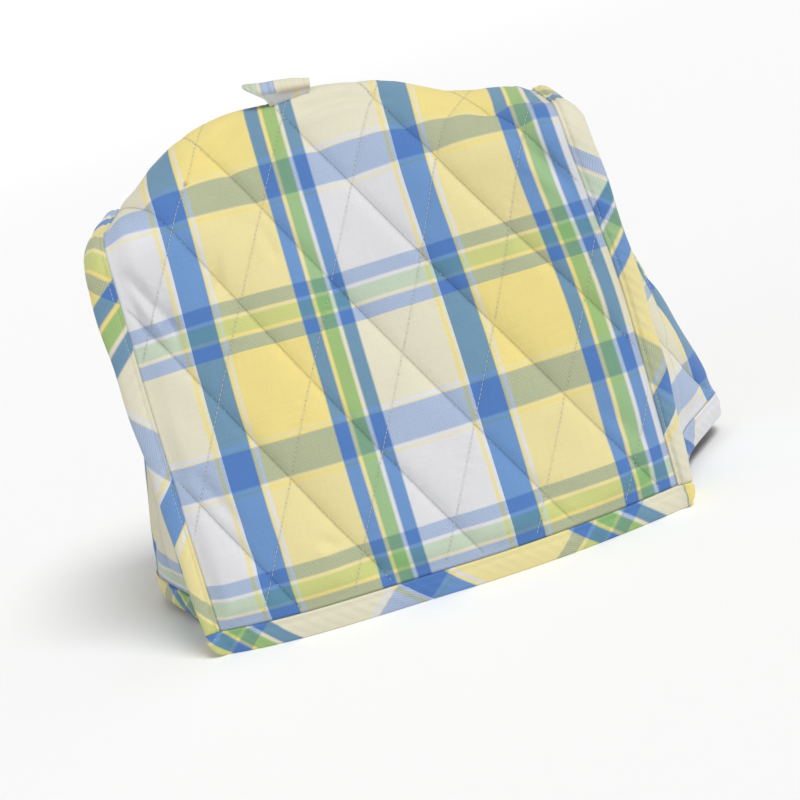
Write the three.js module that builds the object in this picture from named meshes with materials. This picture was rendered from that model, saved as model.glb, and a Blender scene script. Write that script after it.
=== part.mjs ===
// Quilted plaid toaster cover, standing on its hem: millimetres, +Z up, front towards -Y.
// The origin is on the floor, under the middle of the cover.
import * as THREE from 'three';

// Driving dimensions
const WIDTH = 286;             // main panel between its two end seams
const HEM_HALF_DEPTH = 84;     // seam to the middle plane, down at the hem
const TOP_HALF_DEPTH = 64;     // seam to the middle plane, up at the shoulder
const SHOULDER = 245;          // height of the end seams' level top
const SHOULDER_RADIUS = 22;    // rounded top corners of the end panels
const SHOULDER_STEPS = 24;     // points of the seam round each of them
const HEM_BAND = 15;           // height of the binding round the bottom edge
const HEM_BAND_HALF = 2.3;     // half of its thickness
const SEAM_GAP = 0.3;          // clearance between neighbouring pieces
const SHEET_HALF = 1.0;        // half of the quilted cloth's thickness on a stitch line
const PUFF_OUT = 2.6;          // how far a quilted diamond swells outwards
const PUFF_IN = 1.2;           // and inwards
const FLANGE_WIDTH = 13;       // how far the bound end seams stand out sideways
const END_INSET = 3.3;         // end panel's edge below the seam line
const END_OFFSET = 2.6;        // end panel's middle layer outside the seam line
const STRAP_HALF = 1.2;        // half of the loop strap's thickness

// The cover stands unevenly: how far its sides are pulled from an even form
const LEFT_RISE = 8;           // left shoulder higher
const RIGHT_RISE = 4.5;        // right shoulder higher
const LEFT_FOOT_FORWARD = 15;  // left front corner of the hem stands forward
const LEFT_SHOULDER_IN = 3.6;  // top of the left side leans in
const RIGHT_SHOULDER_IN = 8.4; // top of the right side leans in

// Diamond quilting: both families of stitch lines cross every pitch across and every height along
const QUILT_PITCH = 56;
const QUILT_HEIGHT = 102;
const QUILT_ACROSS = 8.7;      // one crossing's place across the main panel
const QUILT_ALONG = 23.7;      // and its distance from the front hem band
const QUILT_STEPS = 6;         // mesh cells in one diamond, each way
const QUILT_FADE = 14;         // the padding flattens this near a seam
const STRIP_LENGTH = 586;      // nominal cloth length from the front hem band to the back one
const FACE_LENGTH = 225;       // of which this much is the front face, and as much the back
const END_COLUMNS = 20;        // mesh cells across an end panel
const FOLD_FADE = 1.7;         // how fast an end panel's fold dies out upwards: 1 is evenly

// Cross-section of the cover at the middle of its width, front hem band to back hem band
const CROWN_ROWS = [
  { y: -107, z: 15.3 }, { y: -88, z: 100 }, { y: -57, z: 200 }, { y: -30, z: 261 },
  { y: -5, z: 290 }, { y: 22, z: 269 }, { y: 52, z: 200 }, { y: 80, z: 100 }, { y: 98, z: 15.3 },
];

// How much of that crown the ridge reaches across the width: steep on the left, easier on the right
const RIDGE_ROWS = [
  { x: -143, rise: 0 }, { x: -127, rise: 0.2 }, { x: -107, rise: 0.52 }, { x: -80, rise: 0.84 },
  { x: -50, rise: 0.98 }, { x: -18, rise: 1 }, { x: 20, rise: 0.98 }, { x: 52, rise: 0.79 },
  { x: 84, rise: 0.44 }, { x: 110, rise: 0.24 }, { x: 130, rise: 0.1 }, { x: 143, rise: 0 },
];

// Each end panel's hem, front corner to back corner: it splays out in a soft fold and lifts a little
const HEM_FOLD_ROWS = {
  right: [
    { y: -81.1, out: 2.6, lift: 0 }, { y: -66, out: 4.5, lift: 1 }, { y: -46, out: 9, lift: 5 },
    { y: -20, out: 20, lift: 10 }, { y: 10, out: 40, lift: 12 }, { y: 32, out: 52, lift: 12 },
    { y: 49, out: 44, lift: 8 }, { y: 63, out: 22, lift: 3 }, { y: 74, out: 6, lift: 0 },
    { y: 81.1, out: 2.6, lift: 0 },
  ],
  left: [
    { y: -81.1, out: 2.6, lift: 0 }, { y: -70, out: 5, lift: 0 }, { y: -44, out: 14, lift: 2 },
    { y: -10, out: 34, lift: 6 }, { y: 20, out: 46, lift: 7 }, { y: 40, out: 43, lift: 6 },
    { y: 58, out: 27, lift: 4 }, { y: 72, out: 8, lift: 0 }, { y: 81.1, out: 2.6, lift: 0 },
  ],
};

// The bound seams' unevenness from the front hem over the top to the back: width factor and lean,
// in degrees, of the flange from straight sideways towards the seam's own outward side
const FLANGE_ROWS = {
  right: [
    { along: 0, width: 0.72, lean: -6 }, { along: 0.05, width: 0.88, lean: -14 },
    { along: 0.12, width: 1.04, lean: -16 }, { along: 0.25, width: 0.97, lean: -6 },
    { along: 0.35, width: 1.18, lean: -12 }, { along: 0.4, width: 1.24, lean: -32 },
    { along: 0.46, width: 1.05, lean: -34 }, { along: 0.54, width: 0.98, lean: -26 },
    { along: 0.6, width: 1.08, lean: -30 }, { along: 0.66, width: 1, lean: -12 },
    { along: 0.8, width: 0.97, lean: -8 }, { along: 0.95, width: 0.85, lean: -12 },
    { along: 1, width: 0.72, lean: -6 },
  ],
  left: [
    { along: 0, width: 0.72, lean: -6 }, { along: 0.05, width: 0.86, lean: -12 },
    { along: 0.12, width: 0.98, lean: -18 }, { along: 0.28, width: 1.14, lean: -4 },
    { along: 0.36, width: 1.32, lean: -14 }, { along: 0.4, width: 1.3, lean: -34 },
    { along: 0.5, width: 1, lean: -16 }, { along: 0.6, width: 1.08, lean: -28 },
    { along: 0.66, width: 1.02, lean: -10 }, { along: 0.8, width: 0.96, lean: -6 },
    { along: 0.95, width: 0.8, lean: -12 }, { along: 1, width: 0.72, lean: -6 },
  ],
};

// Cross-section of a bound seam: out from the seam as a part of the flange's width, up in
// millimetres from the seam's own surface
const FLANGE_SECTION = [
  { out: 0, up: -1.5 }, { out: 0, up: 1.5 }, { out: 0.2, up: 2.5 }, { out: 0.52, up: 3 },
  { out: 0.8, up: 2.6 }, { out: 0.95, up: 1 }, { out: 0.95, up: -1 }, { out: 0.8, up: -2.6 },
  { out: 0.52, up: -2.8 }, { out: 0.2, up: -2.2 },
];

// Cross-section of the hem band: part of the way from its inner line to its outer line, and height
const HEM_SECTION = [
  { reach: 0, z: 1 }, { reach: 0.2, z: 0 }, { reach: 0.8, z: 0 }, { reach: 1, z: 1.6 },
  { reach: 1.1, z: 8 }, { reach: 1, z: 13.6 }, { reach: 0.8, z: 15 }, { reach: 0, z: 15 },
];

// Hem band round the foot of a bound seam, as offsets from the seam line: out is sideways, side is
// forwards on the front corners and backwards on the back ones, cut is how far it rounds up below
const EAR_ROWS = [
  { out: 1, side: 2.8, innerOut: -2, innerSide: -2.3, cut: 0 },
  { out: 5, side: 3.5, innerOut: -1.4, innerSide: -2.3, cut: 1.5 },
  { out: 8.2, side: 2.8, innerOut: -0.9, innerSide: -2.3, cut: 5 },
  { out: 9.4, side: 0.3, innerOut: -0.4, innerSide: -2.4, cut: 7.5 },
  { out: 8.2, side: -2.6, innerOut: 0, innerSide: -2.7, cut: 5 },
  { out: 5.6, side: -3.6, innerOut: 0.2, innerSide: -3.3, cut: 1.5 },
];

// Top loop, a strap squashed over to the left: its two edges from the back seam to the front seam,
// as offsets from the ridge
const LOOP_ROWS = [
  { leftX: -25, leftY: 4, leftZ: 0, rightX: 0, rightY: 4, rightZ: 0 },
  { leftX: -27, leftY: 7, leftZ: 7, rightX: 1, rightY: 6.5, rightZ: 3.6 },
  { leftX: -33, leftY: 5, leftZ: 14, rightX: 2, rightY: 4, rightZ: 8 },
  { leftX: -38, leftY: -2, leftZ: 16, rightX: 2.5, rightY: -2, rightZ: 9.2 },
  { leftX: -34, leftY: -8, leftZ: 12, rightX: 2, rightY: -7.5, rightZ: 7 },
  { leftX: -27, leftY: -7, leftZ: 5.5, rightX: 1, rightY: -7, rightZ: 3.4 },
  { leftX: -25, leftY: -4, leftZ: 0, rightX: 0, rightY: -4, rightZ: 0 },
];

const HALF_WIDTH = WIDTH / 2;
const HEM_TOP = HEM_BAND + SEAM_GAP;
const RIDGE_CREST = CROWN_ROWS.reduce((best, row) => (row.z > best.z ? row : best));

// A sampled line with the length from its start to each of its points
function measured(points) {
  const lengths = [0];
  for (let i = 1; i < points.length; i += 1) {
    const step = Math.hypot(...points[i].map((value, k) => value - points[i - 1][k]));
    lengths.push(lengths[i - 1] + step);
  }
  return { points, lengths, total: lengths.at(-1) };
}

// Smooth line through a table's rows, closely sampled: one value for each named column
function smoothLine(rows, columns, samplesPerRow = 24) {
  const line = [];
  const spans = rows.length - 1;
  for (let i = 0; i <= spans * samplesPerRow; i += 1) {
    const span = Math.min(Math.floor(i / samplesPerRow), spans - 1);
    const t = i / samplesPerRow - span;
    const four = [span - 1, span, span + 1, span + 2].map((k) => rows[THREE.MathUtils.clamp(k, 0, spans)]);
    line.push(columns.map((name) => catmullRom(four.map((row) => row[name]), t)));
  }
  return measured(line);
}

function catmullRom([a, b, c, d], t) {
  const start = (c - a) / 2;
  const end = (d - b) / 2;
  return b + t * (start + t * (3 * (c - b) - 2 * start - end + t * (2 * (b - c) + start + end)));
}

// Value of a table's column where its key column has the given value
function columnAt(rows, key, column, value) {
  const spans = rows.length - 1;
  let span = 0;
  while (span < spans - 1 && rows[span + 1][key] < value) span += 1;
  const width = rows[span + 1][key] - rows[span][key];
  const t = THREE.MathUtils.clamp((value - rows[span][key]) / width, 0, 1);
  const four = [span - 1, span, span + 1, span + 2].map((k) => rows[THREE.MathUtils.clamp(k, 0, spans)]);
  return catmullRom(four.map((row) => row[column]), t);
}

// Point at a fraction of a measured line's own length
function lineAt({ points, lengths, total }, fraction) {
  const wanted = THREE.MathUtils.clamp(fraction, 0, 1) * total;
  let i = 1;
  while (i < points.length - 1 && lengths[i] < wanted) i += 1;
  const t = (wanted - lengths[i - 1]) / (lengths[i] - lengths[i - 1]);
  return points[i].map((value, k) => THREE.MathUtils.lerp(points[i - 1][k], value, t));
}

// End seam in the YZ plane: up the front, round the shoulder, level over the top and down the back
function seamLine() {
  const lean = Math.atan2(HEM_HALF_DEPTH - TOP_HALF_DEPTH, SHOULDER);
  const turn = Math.PI / 2 - lean;
  const trim = SHOULDER_RADIUS * Math.tan(turn / 2);
  const centreY = -TOP_HALF_DEPTH + trim;
  const centreZ = SHOULDER - SHOULDER_RADIUS;
  const half = [];
  const foot = HEM_HALF_DEPTH - HEM_TOP * Math.tan(lean);
  half.push([-foot, HEM_TOP]);
  for (let i = 0; i <= SHOULDER_STEPS; i += 1) {
    const angle = Math.PI - lean - (turn * i) / SHOULDER_STEPS;
    half.push([centreY + SHOULDER_RADIUS * Math.cos(angle), centreZ + SHOULDER_RADIUS * Math.sin(angle)]);
  }
  const back = half.map(([y, z]) => [-y, z]).reverse();
  return measured([...half, ...back]);
}

const SEAM = seamLine();
// Where the seam's front shoulder begins and ends, as parts of its length
const SHOULDER_START = SEAM.lengths[1] / SEAM.total;
const SHOULDER_END = SEAM.lengths[1 + SHOULDER_STEPS] / SEAM.total;
const CROWN = smoothLine(CROWN_ROWS, ['y', 'z']);

// How far the cloth follows the crown instead of the seam: a plain bow at the hem, the ridge on top
function fullness(x, v) {
  const height = THREE.MathUtils.smoothstep(1 - Math.abs(2 * v - 1), 0.1, 0.95);
  const bow = 1 - (x / HALF_WIDTH) ** 2;
  return THREE.MathUtils.lerp(bow, columnAt(RIDGE_ROWS, 'x', 'rise', x), height);
}

// Middle layer of the main panel: x across, v from the front hem band (0) to the back one (1)
function mainPoint(x, v) {
  const [seamY, seamZ] = lineAt(SEAM, v);
  const [crownY, crownZ] = lineAt(CROWN, v);
  const part = fullness(x, v);
  const y = THREE.MathUtils.lerp(seamY, crownY, part);
  const z = THREE.MathUtils.lerp(seamZ, crownZ, part);
  return new THREE.Vector3(x, y, z);
}

// Outward normal of a surface given as a function of two parameters
function surfaceNormal(surface, a, b, stepA, stepB) {
  const acrossA = surface(a + stepA, b).sub(surface(a - stepA, b));
  const acrossB = surface(a, b + stepB).sub(surface(a, b - stepB));
  return acrossA.cross(acrossB).normalize();
}

// Height of a quilted diamond, from 0 on a stitch line to 1 in its middle
function puff(across, along) {
  const ridge = (value) => Math.abs(Math.sin(Math.PI * value)) ** 0.7;
  return ridge(across / QUILT_PITCH + along / QUILT_HEIGHT) * ridge(across / QUILT_PITCH - along / QUILT_HEIGHT);
}

// A closed geometry from shared points and faces of three, turned so that its faces point out
function closedGeometry(points, faces) {
  let volume = 0;
  for (const [a, b, c] of faces) {
    volume += points[a].dot(points[b].clone().cross(points[c]));
  }
  const index = volume > 0 ? faces.flat() : faces.flatMap(([a, b, c]) => [a, c, b]);
  const geometry = new THREE.BufferGeometry();
  geometry.setAttribute('position', new THREE.Float32BufferAttribute(points.flatMap((p) => p.toArray()), 3));
  geometry.setIndex(index);
  geometry.computeVertexNormals();
  return geometry;
}

// Two triangles for a four-cornered cell, parted along its lower diagonal so that grooves stay sharp
function cell(faces, [a, b, c, d], heights) {
  const alongAc = !heights || heights[0] + heights[2] <= heights[1] + heights[3];
  faces.push(...(alongAc ? [[a, b, c], [a, c, d]] : [[a, b, d], [b, c, d]]));
}

// A sheet with an outer and an inner face over one grid of nodes { point, normal, swell }
function sheetGeometry(grid) {
  const rows = grid.length;
  const columns = grid[0].length;
  const points = [];
  for (const side of [1, -1]) {
    const swellBy = side > 0 ? PUFF_OUT : PUFF_IN;
    for (const row of grid) {
      for (const node of row) {
        const reach = side * (SHEET_HALF + swellBy * node.swell);
        points.push(node.point.clone().addScaledVector(node.normal, reach));
      }
    }
  }
  const at = (layer, i, j) => (layer * rows + i) * columns + j;
  const faces = [];
  for (let i = 0; i < rows - 1; i += 1) {
    for (let j = 0; j < columns - 1; j += 1) {
      const corners = [[i, j], [i, j + 1], [i + 1, j + 1], [i + 1, j]];
      const heights = corners.map(([r, c]) => grid[r][c].swell);
      cell(faces, corners.map(([r, c]) => at(0, r, c)), heights);
      const under = [];
      cell(under, corners.map(([r, c]) => at(1, r, c)), heights);
      faces.push(...under.map(([a, b, c]) => [a, c, b]));
    }
  }
  const rim = [];
  for (let j = 0; j < columns - 1; j += 1) rim.push([0, j]);
  for (let i = 0; i < rows - 1; i += 1) rim.push([i, columns - 1]);
  for (let j = columns - 1; j > 0; j -= 1) rim.push([rows - 1, j]);
  for (let i = rows - 1; i > 0; i -= 1) rim.push([i, 0]);
  rim.forEach(([i, j], k) => {
    const [nextI, nextJ] = rim[(k + 1) % rim.length];
    cell(faces, [at(0, i, j), at(1, i, j), at(1, nextI, nextJ), at(0, nextI, nextJ)]);
  });
  return closedGeometry(points, faces);
}

// A solid swept through closed sections of equal count; the run of sections may close on itself
function sweptGeometry(sections, closed) {
  const count = sections[0].length;
  const points = sections.flat();
  const faces = [];
  const last = closed ? sections.length : sections.length - 1;
  for (let i = 0; i < last; i += 1) {
    const next = (i + 1) % sections.length;
    for (let j = 0; j < count; j += 1) {
      const side = (j + 1) % count;
      cell(faces, [i * count + j, i * count + side, next * count + side, next * count + j]);
    }
  }
  if (!closed) {
    for (let j = 1; j < count - 1; j += 1) {
      const end = (sections.length - 1) * count;
      faces.push([0, j + 1, j], [end, end + j, end + j + 1]);
    }
  }
  return closedGeometry(points, faces);
}

// Main panel: one quilted strip up the front, over the ridge and down the back
function mainPanel() {
  const stepAcross = QUILT_PITCH / QUILT_STEPS;
  const stepAlong = QUILT_HEIGHT / QUILT_STEPS;
  const clear = 4;  // no grid line lies closer than this to an edge
  const columns = [-HALF_WIDTH];
  const first = QUILT_ACROSS - Math.floor((QUILT_ACROSS + HALF_WIDTH) / stepAcross) * stepAcross;
  for (let x = first; x < HALF_WIDTH - clear; x += stepAcross) {
    if (x > -HALF_WIDTH + clear) columns.push(x);
  }
  columns.push(HALF_WIDTH);
  const rows = [0];
  const firstRow = QUILT_ALONG - Math.floor(QUILT_ALONG / stepAlong) * stepAlong;
  for (let s = firstRow; s < STRIP_LENGTH - clear; s += stepAlong / 2) {
    const onFace = s < FACE_LENGTH || s > STRIP_LENGTH - FACE_LENGTH;
    const wholeStep = Math.round((s - firstRow) / (stepAlong / 2)) % 2 === 0;
    if (s > clear && (wholeStep || !onFace)) rows.push(s);
  }
  rows.push(STRIP_LENGTH);
  const grid = rows.map((along) => columns.map((x) => {
    const v = along / STRIP_LENGTH;
    const point = mainPoint(x, v);
    const normal = surfaceNormal(mainPoint, x, v, 1, 0.004);
    const onSeam = Math.abs(x) === HALF_WIDTH;
    const onHem = along === 0 || along === STRIP_LENGTH;
    if (onSeam) normal.setX(0).normalize();
    if (onHem) normal.setZ(0).normalize();
    const edge = Math.min(HALF_WIDTH - Math.abs(x), along, STRIP_LENGTH - along);
    const fade = THREE.MathUtils.smoothstep(edge, 0, QUILT_FADE);
    return { point, normal, swell: puff(x - QUILT_ACROSS, along - QUILT_ALONG) * fade };
  }));
  return sheetGeometry(grid);
}

// Fractions along the end seam at which its pieces have their stations: close on the shoulders
function seamFractions() {
  const fractions = [];
  const steps = [
    { until: 0.36, step: 0.0277 }, { until: 0.46, step: 0.0095 }, { until: 0.54, step: 0.02 },
    { until: 0.64, step: 0.0095 }, { until: 1, step: 0.0277 },
  ];
  let from = 0;
  for (const { until, step } of steps) {
    const count = Math.round((until - from) / step);
    for (let i = 0; i < count; i += 1) fractions.push(from + ((until - from) * i) / count);
    from = until;
  }
  fractions.push(1);
  return fractions;
}

// The seam's point and its outward direction in the YZ plane
function seamFrame(fraction) {
  const [y, z] = lineAt(SEAM, fraction);
  const before = lineAt(SEAM, fraction - 0.004);
  const after = lineAt(SEAM, fraction + 0.004);
  const along = new THREE.Vector2(after[0] - before[0], after[1] - before[1]).normalize();
  return { y, z, upY: -along.y, upZ: along.x };
}

// Bound seam: the flange that stands out all along an end seam, its two feet level on the hem band
function seamBinding(sideName) {
  const side = sideName === 'right' ? 1 : -1;
  const rows = FLANGE_ROWS[sideName];
  const sections = seamFractions().map((fraction) => {
    const { y, z, upY, upZ } = seamFrame(fraction);
    const width = FLANGE_WIDTH * columnAt(rows, 'along', 'width', fraction);
    const lean = THREE.MathUtils.degToRad(columnAt(rows, 'along', 'lean', fraction));
    const isFoot = fraction === 0 || fraction === 1;
    const upward = isFoot ? 0 : upZ;
    return FLANGE_SECTION.map(({ out, up }) => {
      const reach = SEAM_GAP + out * width;
      const rise = up + Math.sin(lean) * (reach ** 2 / FLANGE_WIDTH);
      return new THREE.Vector3(side * (HALF_WIDTH + reach), y + upY * rise, z + upward * rise);
    });
  });
  return sweptGeometry(sections, false);
}

// The line of an end panel's hem: out from the seam, along Y, and its lift off the ground
function hemFold(sideName) {
  const line = smoothLine(HEM_FOLD_ROWS[sideName], ['out', 'y', 'lift']);
  return (fraction) => {
    const [out, y, lift] = lineAt(line, fraction);
    return [out, y, Math.max(lift, 0)];
  };
}

// Middle layer of an end panel: a patch hung between its seam and its splayed hem
function endPatch(sideName) {
  const side = sideName === 'right' ? 1 : -1;
  const hem = hemFold(sideName);
  const edge = (fraction) => {
    const { y, z, upY, upZ } = seamFrame(fraction);
    const footing = THREE.MathUtils.smoothstep(Math.min(fraction, 1 - fraction), 0, 0.05);
    const x = side * (HALF_WIDTH + END_OFFSET);
    return new THREE.Vector3(x, y - upY * END_INSET, z - upZ * END_INSET * footing);
  };
  const bottom = (u) => {
    const [out, y, lift] = hem(u);
    return new THREE.Vector3(side * (HALF_WIDTH + out), y, HEM_TOP + lift);
  };
  const top = (u) => edge(THREE.MathUtils.lerp(SHOULDER_END, 1 - SHOULDER_END, u));
  const front = (v) => edge(SHOULDER_END * v);
  const back = (v) => edge(1 - SHOULDER_END * v);
  return (u, v) => {
    const low = (1 - v) ** FOLD_FADE;
    const high = 1 - low;
    const point = bottom(u).multiplyScalar(low).addScaledVector(top(u), high);
    point.addScaledVector(front(v), 1 - u).addScaledVector(back(v), u);
    point.addScaledVector(bottom(0), -(1 - u) * low).addScaledVector(bottom(1), -u * low);
    return point.addScaledVector(top(0), -(1 - u) * high).addScaledVector(top(1), -u * high);
  };
}

// Rows of an end panel's grid: level with the stitch lines' crossings, then close round the shoulders
function endRows() {
  const step = QUILT_HEIGHT / QUILT_STEPS / SEAM.total;
  const fractions = [];
  for (let f = 0; f < SHOULDER_START - step / 4; f += step) fractions.push(f);
  const arcSteps = 4;
  for (let k = 0; k <= arcSteps; k += 1) {
    fractions.push(THREE.MathUtils.lerp(SHOULDER_START, SHOULDER_END, k / arcSteps));
  }
  return fractions.map((f) => f / SHOULDER_END);
}

// End panel: quilted cloth between the bound seam and the hem, its grid laid along the stitch lines
function endPanel(sideName) {
  const side = sideName === 'right' ? 1 : -1;
  const patch = endPatch(sideName);
  const clothWidth = (END_COLUMNS / QUILT_STEPS) * QUILT_PITCH;
  const grid = endRows().map((v) => {
    const row = [];
    const along = patch(0, v).z - HEM_TOP;
    for (let i = 0; i <= END_COLUMNS; i += 1) {
      const u = i / END_COLUMNS;
      const point = patch(u, v);
      const onSeam = i === 0 || i === END_COLUMNS || v === 1;
      const inside = [THREE.MathUtils.clamp(u, 0.02, 0.98), THREE.MathUtils.clamp(v, 0.02, 0.98)];
      const normal = surfaceNormal(patch, inside[0], inside[1], 0.015, 0.015).multiplyScalar(side);
      if (onSeam) normal.set(side, 0, 0);
      else if (v === 0) normal.setZ(0).normalize();
      const edge = Math.min(u, 1 - u, v * 1.4, (1 - v) * 1.4);
      const quilt = puff(u * clothWidth, along) * THREE.MathUtils.smoothstep(edge, 0, 0.12);
      row.push({ point, normal, swell: quilt });
    }
    return row;
  });
  return sheetGeometry(grid);
}

// Hem band: one bound edge round the whole bottom, with an ear at the foot of each bound seam
function hemBinding() {
  const stations = [];
  const station = (outerX, outerY, innerX, innerY, { lift = 0, cut = 0 } = {}) => {
    stations.push({ outer: [outerX, outerY], inner: [innerX, innerY], lift, cut });
  };
  const straight = (front) => {
    const count = 22;
    const v = front < 0 ? 0 : 1;
    for (let i = 0; i <= count; i += 1) {
      const x = -front * THREE.MathUtils.lerp(-HALF_WIDTH + 3, HALF_WIDTH - 3, i / count);
      const { y } = mainPoint(x, v);
      const slope = (mainPoint(x + 1, v).y - mainPoint(x - 1, v).y) / 2;
      const normal = new THREE.Vector2(-slope, 1).normalize().multiplyScalar(front * HEM_BAND_HALF);
      station(x + normal.x, y + normal.y, x - normal.x, y - normal.y);
    }
  };
  const ear = (side, front, reversed) => {
    const seamY = Math.abs(lineAt(SEAM, 0)[0]);
    const rows = reversed ? [...EAR_ROWS].reverse() : EAR_ROWS;
    for (const { out, side: sideways, innerOut, innerSide, cut } of rows) {
      const outer = [side * (HALF_WIDTH + out), front * (seamY + sideways)];
      station(...outer, side * (HALF_WIDTH + innerOut), front * (seamY + innerSide), { cut });
    }
  };
  const fold = (sideName, reversed) => {
    const side = sideName === 'right' ? 1 : -1;
    const hem = hemFold(sideName);
    for (let i = 1; i < END_COLUMNS; i += 1) {
      const fraction = (reversed ? END_COLUMNS - i : i) / END_COLUMNS;
      const [out, y, lift] = hem(fraction);
      const before = hem(fraction - 0.02);
      const after = hem(fraction + 0.02);
      const normal = new THREE.Vector2(after[1] - before[1], before[0] - after[0]).normalize();
      normal.multiplyScalar(HEM_BAND_HALF);
      const x = HALF_WIDTH + out;
      station(side * (x + normal.x), y + normal.y, side * (x - normal.x), y - normal.y, { lift });
    }
  };
  straight(-1);
  ear(1, -1, false);
  fold('right', false);
  ear(1, 1, true);
  straight(1);
  ear(-1, 1, false);
  fold('left', true);
  ear(-1, -1, true);
  const sections = stations.map(({ outer, inner, lift, cut }) => HEM_SECTION.map(({ reach, z }) => {
    const thick = Math.hypot(outer[0] - inner[0], outer[1] - inner[1]);
    const swell = reach > 1 ? 1 + ((reach - 1) * 2 * HEM_BAND_HALF) / thick : reach;
    const x = THREE.MathUtils.lerp(inner[0], outer[0], swell);
    const y = THREE.MathUtils.lerp(inner[1], outer[1], swell);
    const raised = cut * Math.min(swell, 1) * (1 - z / HEM_BAND);
    return new THREE.Vector3(x, y, z + raised + lift);
  }));
  return sweptGeometry(sections, true);
}

// Height that the loop stands at: just clear of the padded ridge under its two ends
function loopBase() {
  const { leftX, rightX } = LOOP_ROWS[0];
  let top = 0;
  for (let x = leftX; x <= rightX; x += 1) {
    for (let v = 0.47; v <= 0.53; v += 0.002) {
      const padding = PUFF_OUT * puff(x - QUILT_ACROSS, v * STRIP_LENGTH - QUILT_ALONG);
      top = Math.max(top, mainPoint(x, v).z + SHEET_HALF + padding);
    }
  }
  return top + SEAM_GAP;
}

// Top loop: a strap whose ends stand on the ridge
function topLoop() {
  const names = ['leftX', 'leftY', 'leftZ', 'rightX', 'rightY', 'rightZ'];
  const { points } = smoothLine(LOOP_ROWS, names, 4);
  const ridge = new THREE.Vector3(0, RIDGE_CREST.y, loopBase());
  const edges = points.map(([leftX, leftY, leftZ, rightX, rightY, rightZ]) => [
    new THREE.Vector3(leftX, leftY, leftZ).add(ridge),
    new THREE.Vector3(rightX, rightY, rightZ).add(ridge),
  ]);
  const sections = edges.map(([left, right], i) => {
    const before = edges[Math.max(i - 1, 0)];
    const after = edges[Math.min(i + 1, edges.length - 1)];
    const isFoot = i === 0 || i === edges.length - 1;
    const outward = (k) => {
      const along = after[k].clone().sub(before[k]);
      const normal = along.cross(right.clone().sub(left)).normalize();
      return isFoot ? normal.setZ(0).normalize() : normal;
    };
    const [atLeft, atRight] = [outward(0), outward(1)];
    return [
      left.clone().addScaledVector(atLeft, STRAP_HALF), right.clone().addScaledVector(atRight, STRAP_HALF),
      right.clone().addScaledVector(atRight, -STRAP_HALF), left.clone().addScaledVector(atLeft, -STRAP_HALF),
    ];
  });
  return sweptGeometry(sections, false);
}

// Pulls a point of the even form to where the cloth really stands; nothing moves up or down at the hem
function settle({ x, y, z }) {
  const { smoothstep } = THREE.MathUtils;
  const left = smoothstep(-x, 0, HALF_WIDTH);
  const right = smoothstep(x, 0, HALF_WIDTH);
  const top = smoothstep(z, SHOULDER / 2, SHOULDER);
  const foot = 1 - smoothstep(z, HEM_BAND, 2 * SHOULDER / 3);
  const front = smoothstep(-y, HEM_HALF_DEPTH / 4, HEM_HALF_DEPTH);
  return new THREE.Vector3(
    x + (LEFT_SHOULDER_IN * left - RIGHT_SHOULDER_IN * right) * top,
    y - LEFT_FOOT_FORWARD * left * foot * front,
    z + (LEFT_RISE * left + RIGHT_RISE * right) * smoothstep(z, HEM_TOP, SHOULDER),
  );
}

function cloth(color) {
  return new THREE.MeshStandardMaterial({ color, roughness: 0.9, metalness: 0 });
}

const cover = new THREE.Group();
cover.name = 'toaster_cover';
const pieces = {
  main_panel: [mainPanel(), cloth(0xe9dfae)],
  end_panel_left: [endPanel('left'), cloth(0xd9dbe4)],
  end_panel_right: [endPanel('right'), cloth(0xd9dbe4)],
  seam_binding_left: [seamBinding('left'), cloth(0x86a7d6)],
  seam_binding_right: [seamBinding('right'), cloth(0x86a7d6)],
  hem_binding: [hemBinding(), cloth(0xe6d88a)],
  top_loop: [topLoop(), cloth(0xa9c487)],
};
for (const [name, [geometry, material]] of Object.entries(pieces)) {
  const mesh = new THREE.Mesh(geometry, material);
  mesh.name = name;
  cover.add(mesh);
}

for (const { geometry } of cover.children) {
  const { position } = geometry.attributes;
  for (let i = 0; i < position.count; i += 1) {
    position.setXYZ(i, ...settle(new THREE.Vector3().fromBufferAttribute(position, i)));
  }
  geometry.computeVertexNormals();
}

// The origin goes under the middle of the whole cover
const middle = new THREE.Box3().setFromObject(cover).getCenter(new THREE.Vector3());
for (const { geometry } of cover.children) geometry.translate(-middle.x, -middle.y, 0);

export default cover;
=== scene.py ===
import math

import bpy
import numpy as np
from bpy.props import FloatProperty, FloatVectorProperty, PointerProperty
from mathutils import Matrix, Vector


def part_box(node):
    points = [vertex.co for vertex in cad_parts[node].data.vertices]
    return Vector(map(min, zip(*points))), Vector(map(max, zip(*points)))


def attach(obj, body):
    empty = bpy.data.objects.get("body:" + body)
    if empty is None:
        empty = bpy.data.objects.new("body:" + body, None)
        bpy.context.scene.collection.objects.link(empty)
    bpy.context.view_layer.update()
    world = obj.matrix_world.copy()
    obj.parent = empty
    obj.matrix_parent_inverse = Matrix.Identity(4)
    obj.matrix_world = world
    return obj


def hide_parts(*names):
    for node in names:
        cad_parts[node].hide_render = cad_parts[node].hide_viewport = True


# Quilted plaid cover for a toaster: the quilted cloths, the bias bindings round their edges, the strap
# loop and all the sewing. Sizes are in millimetres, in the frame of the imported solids, and become
# metres only where a mesh is written.

bl_info = {
    "name": "Quilted toaster cover",
    "version": (1, 0, 0),
    "blender": (4, 5, 0),
    "location": "3D View > Sidebar > Cover",
    "description": "Sews a quilted plaid toaster cover round its packed solids",
    "category": "Add Mesh",
}

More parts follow.
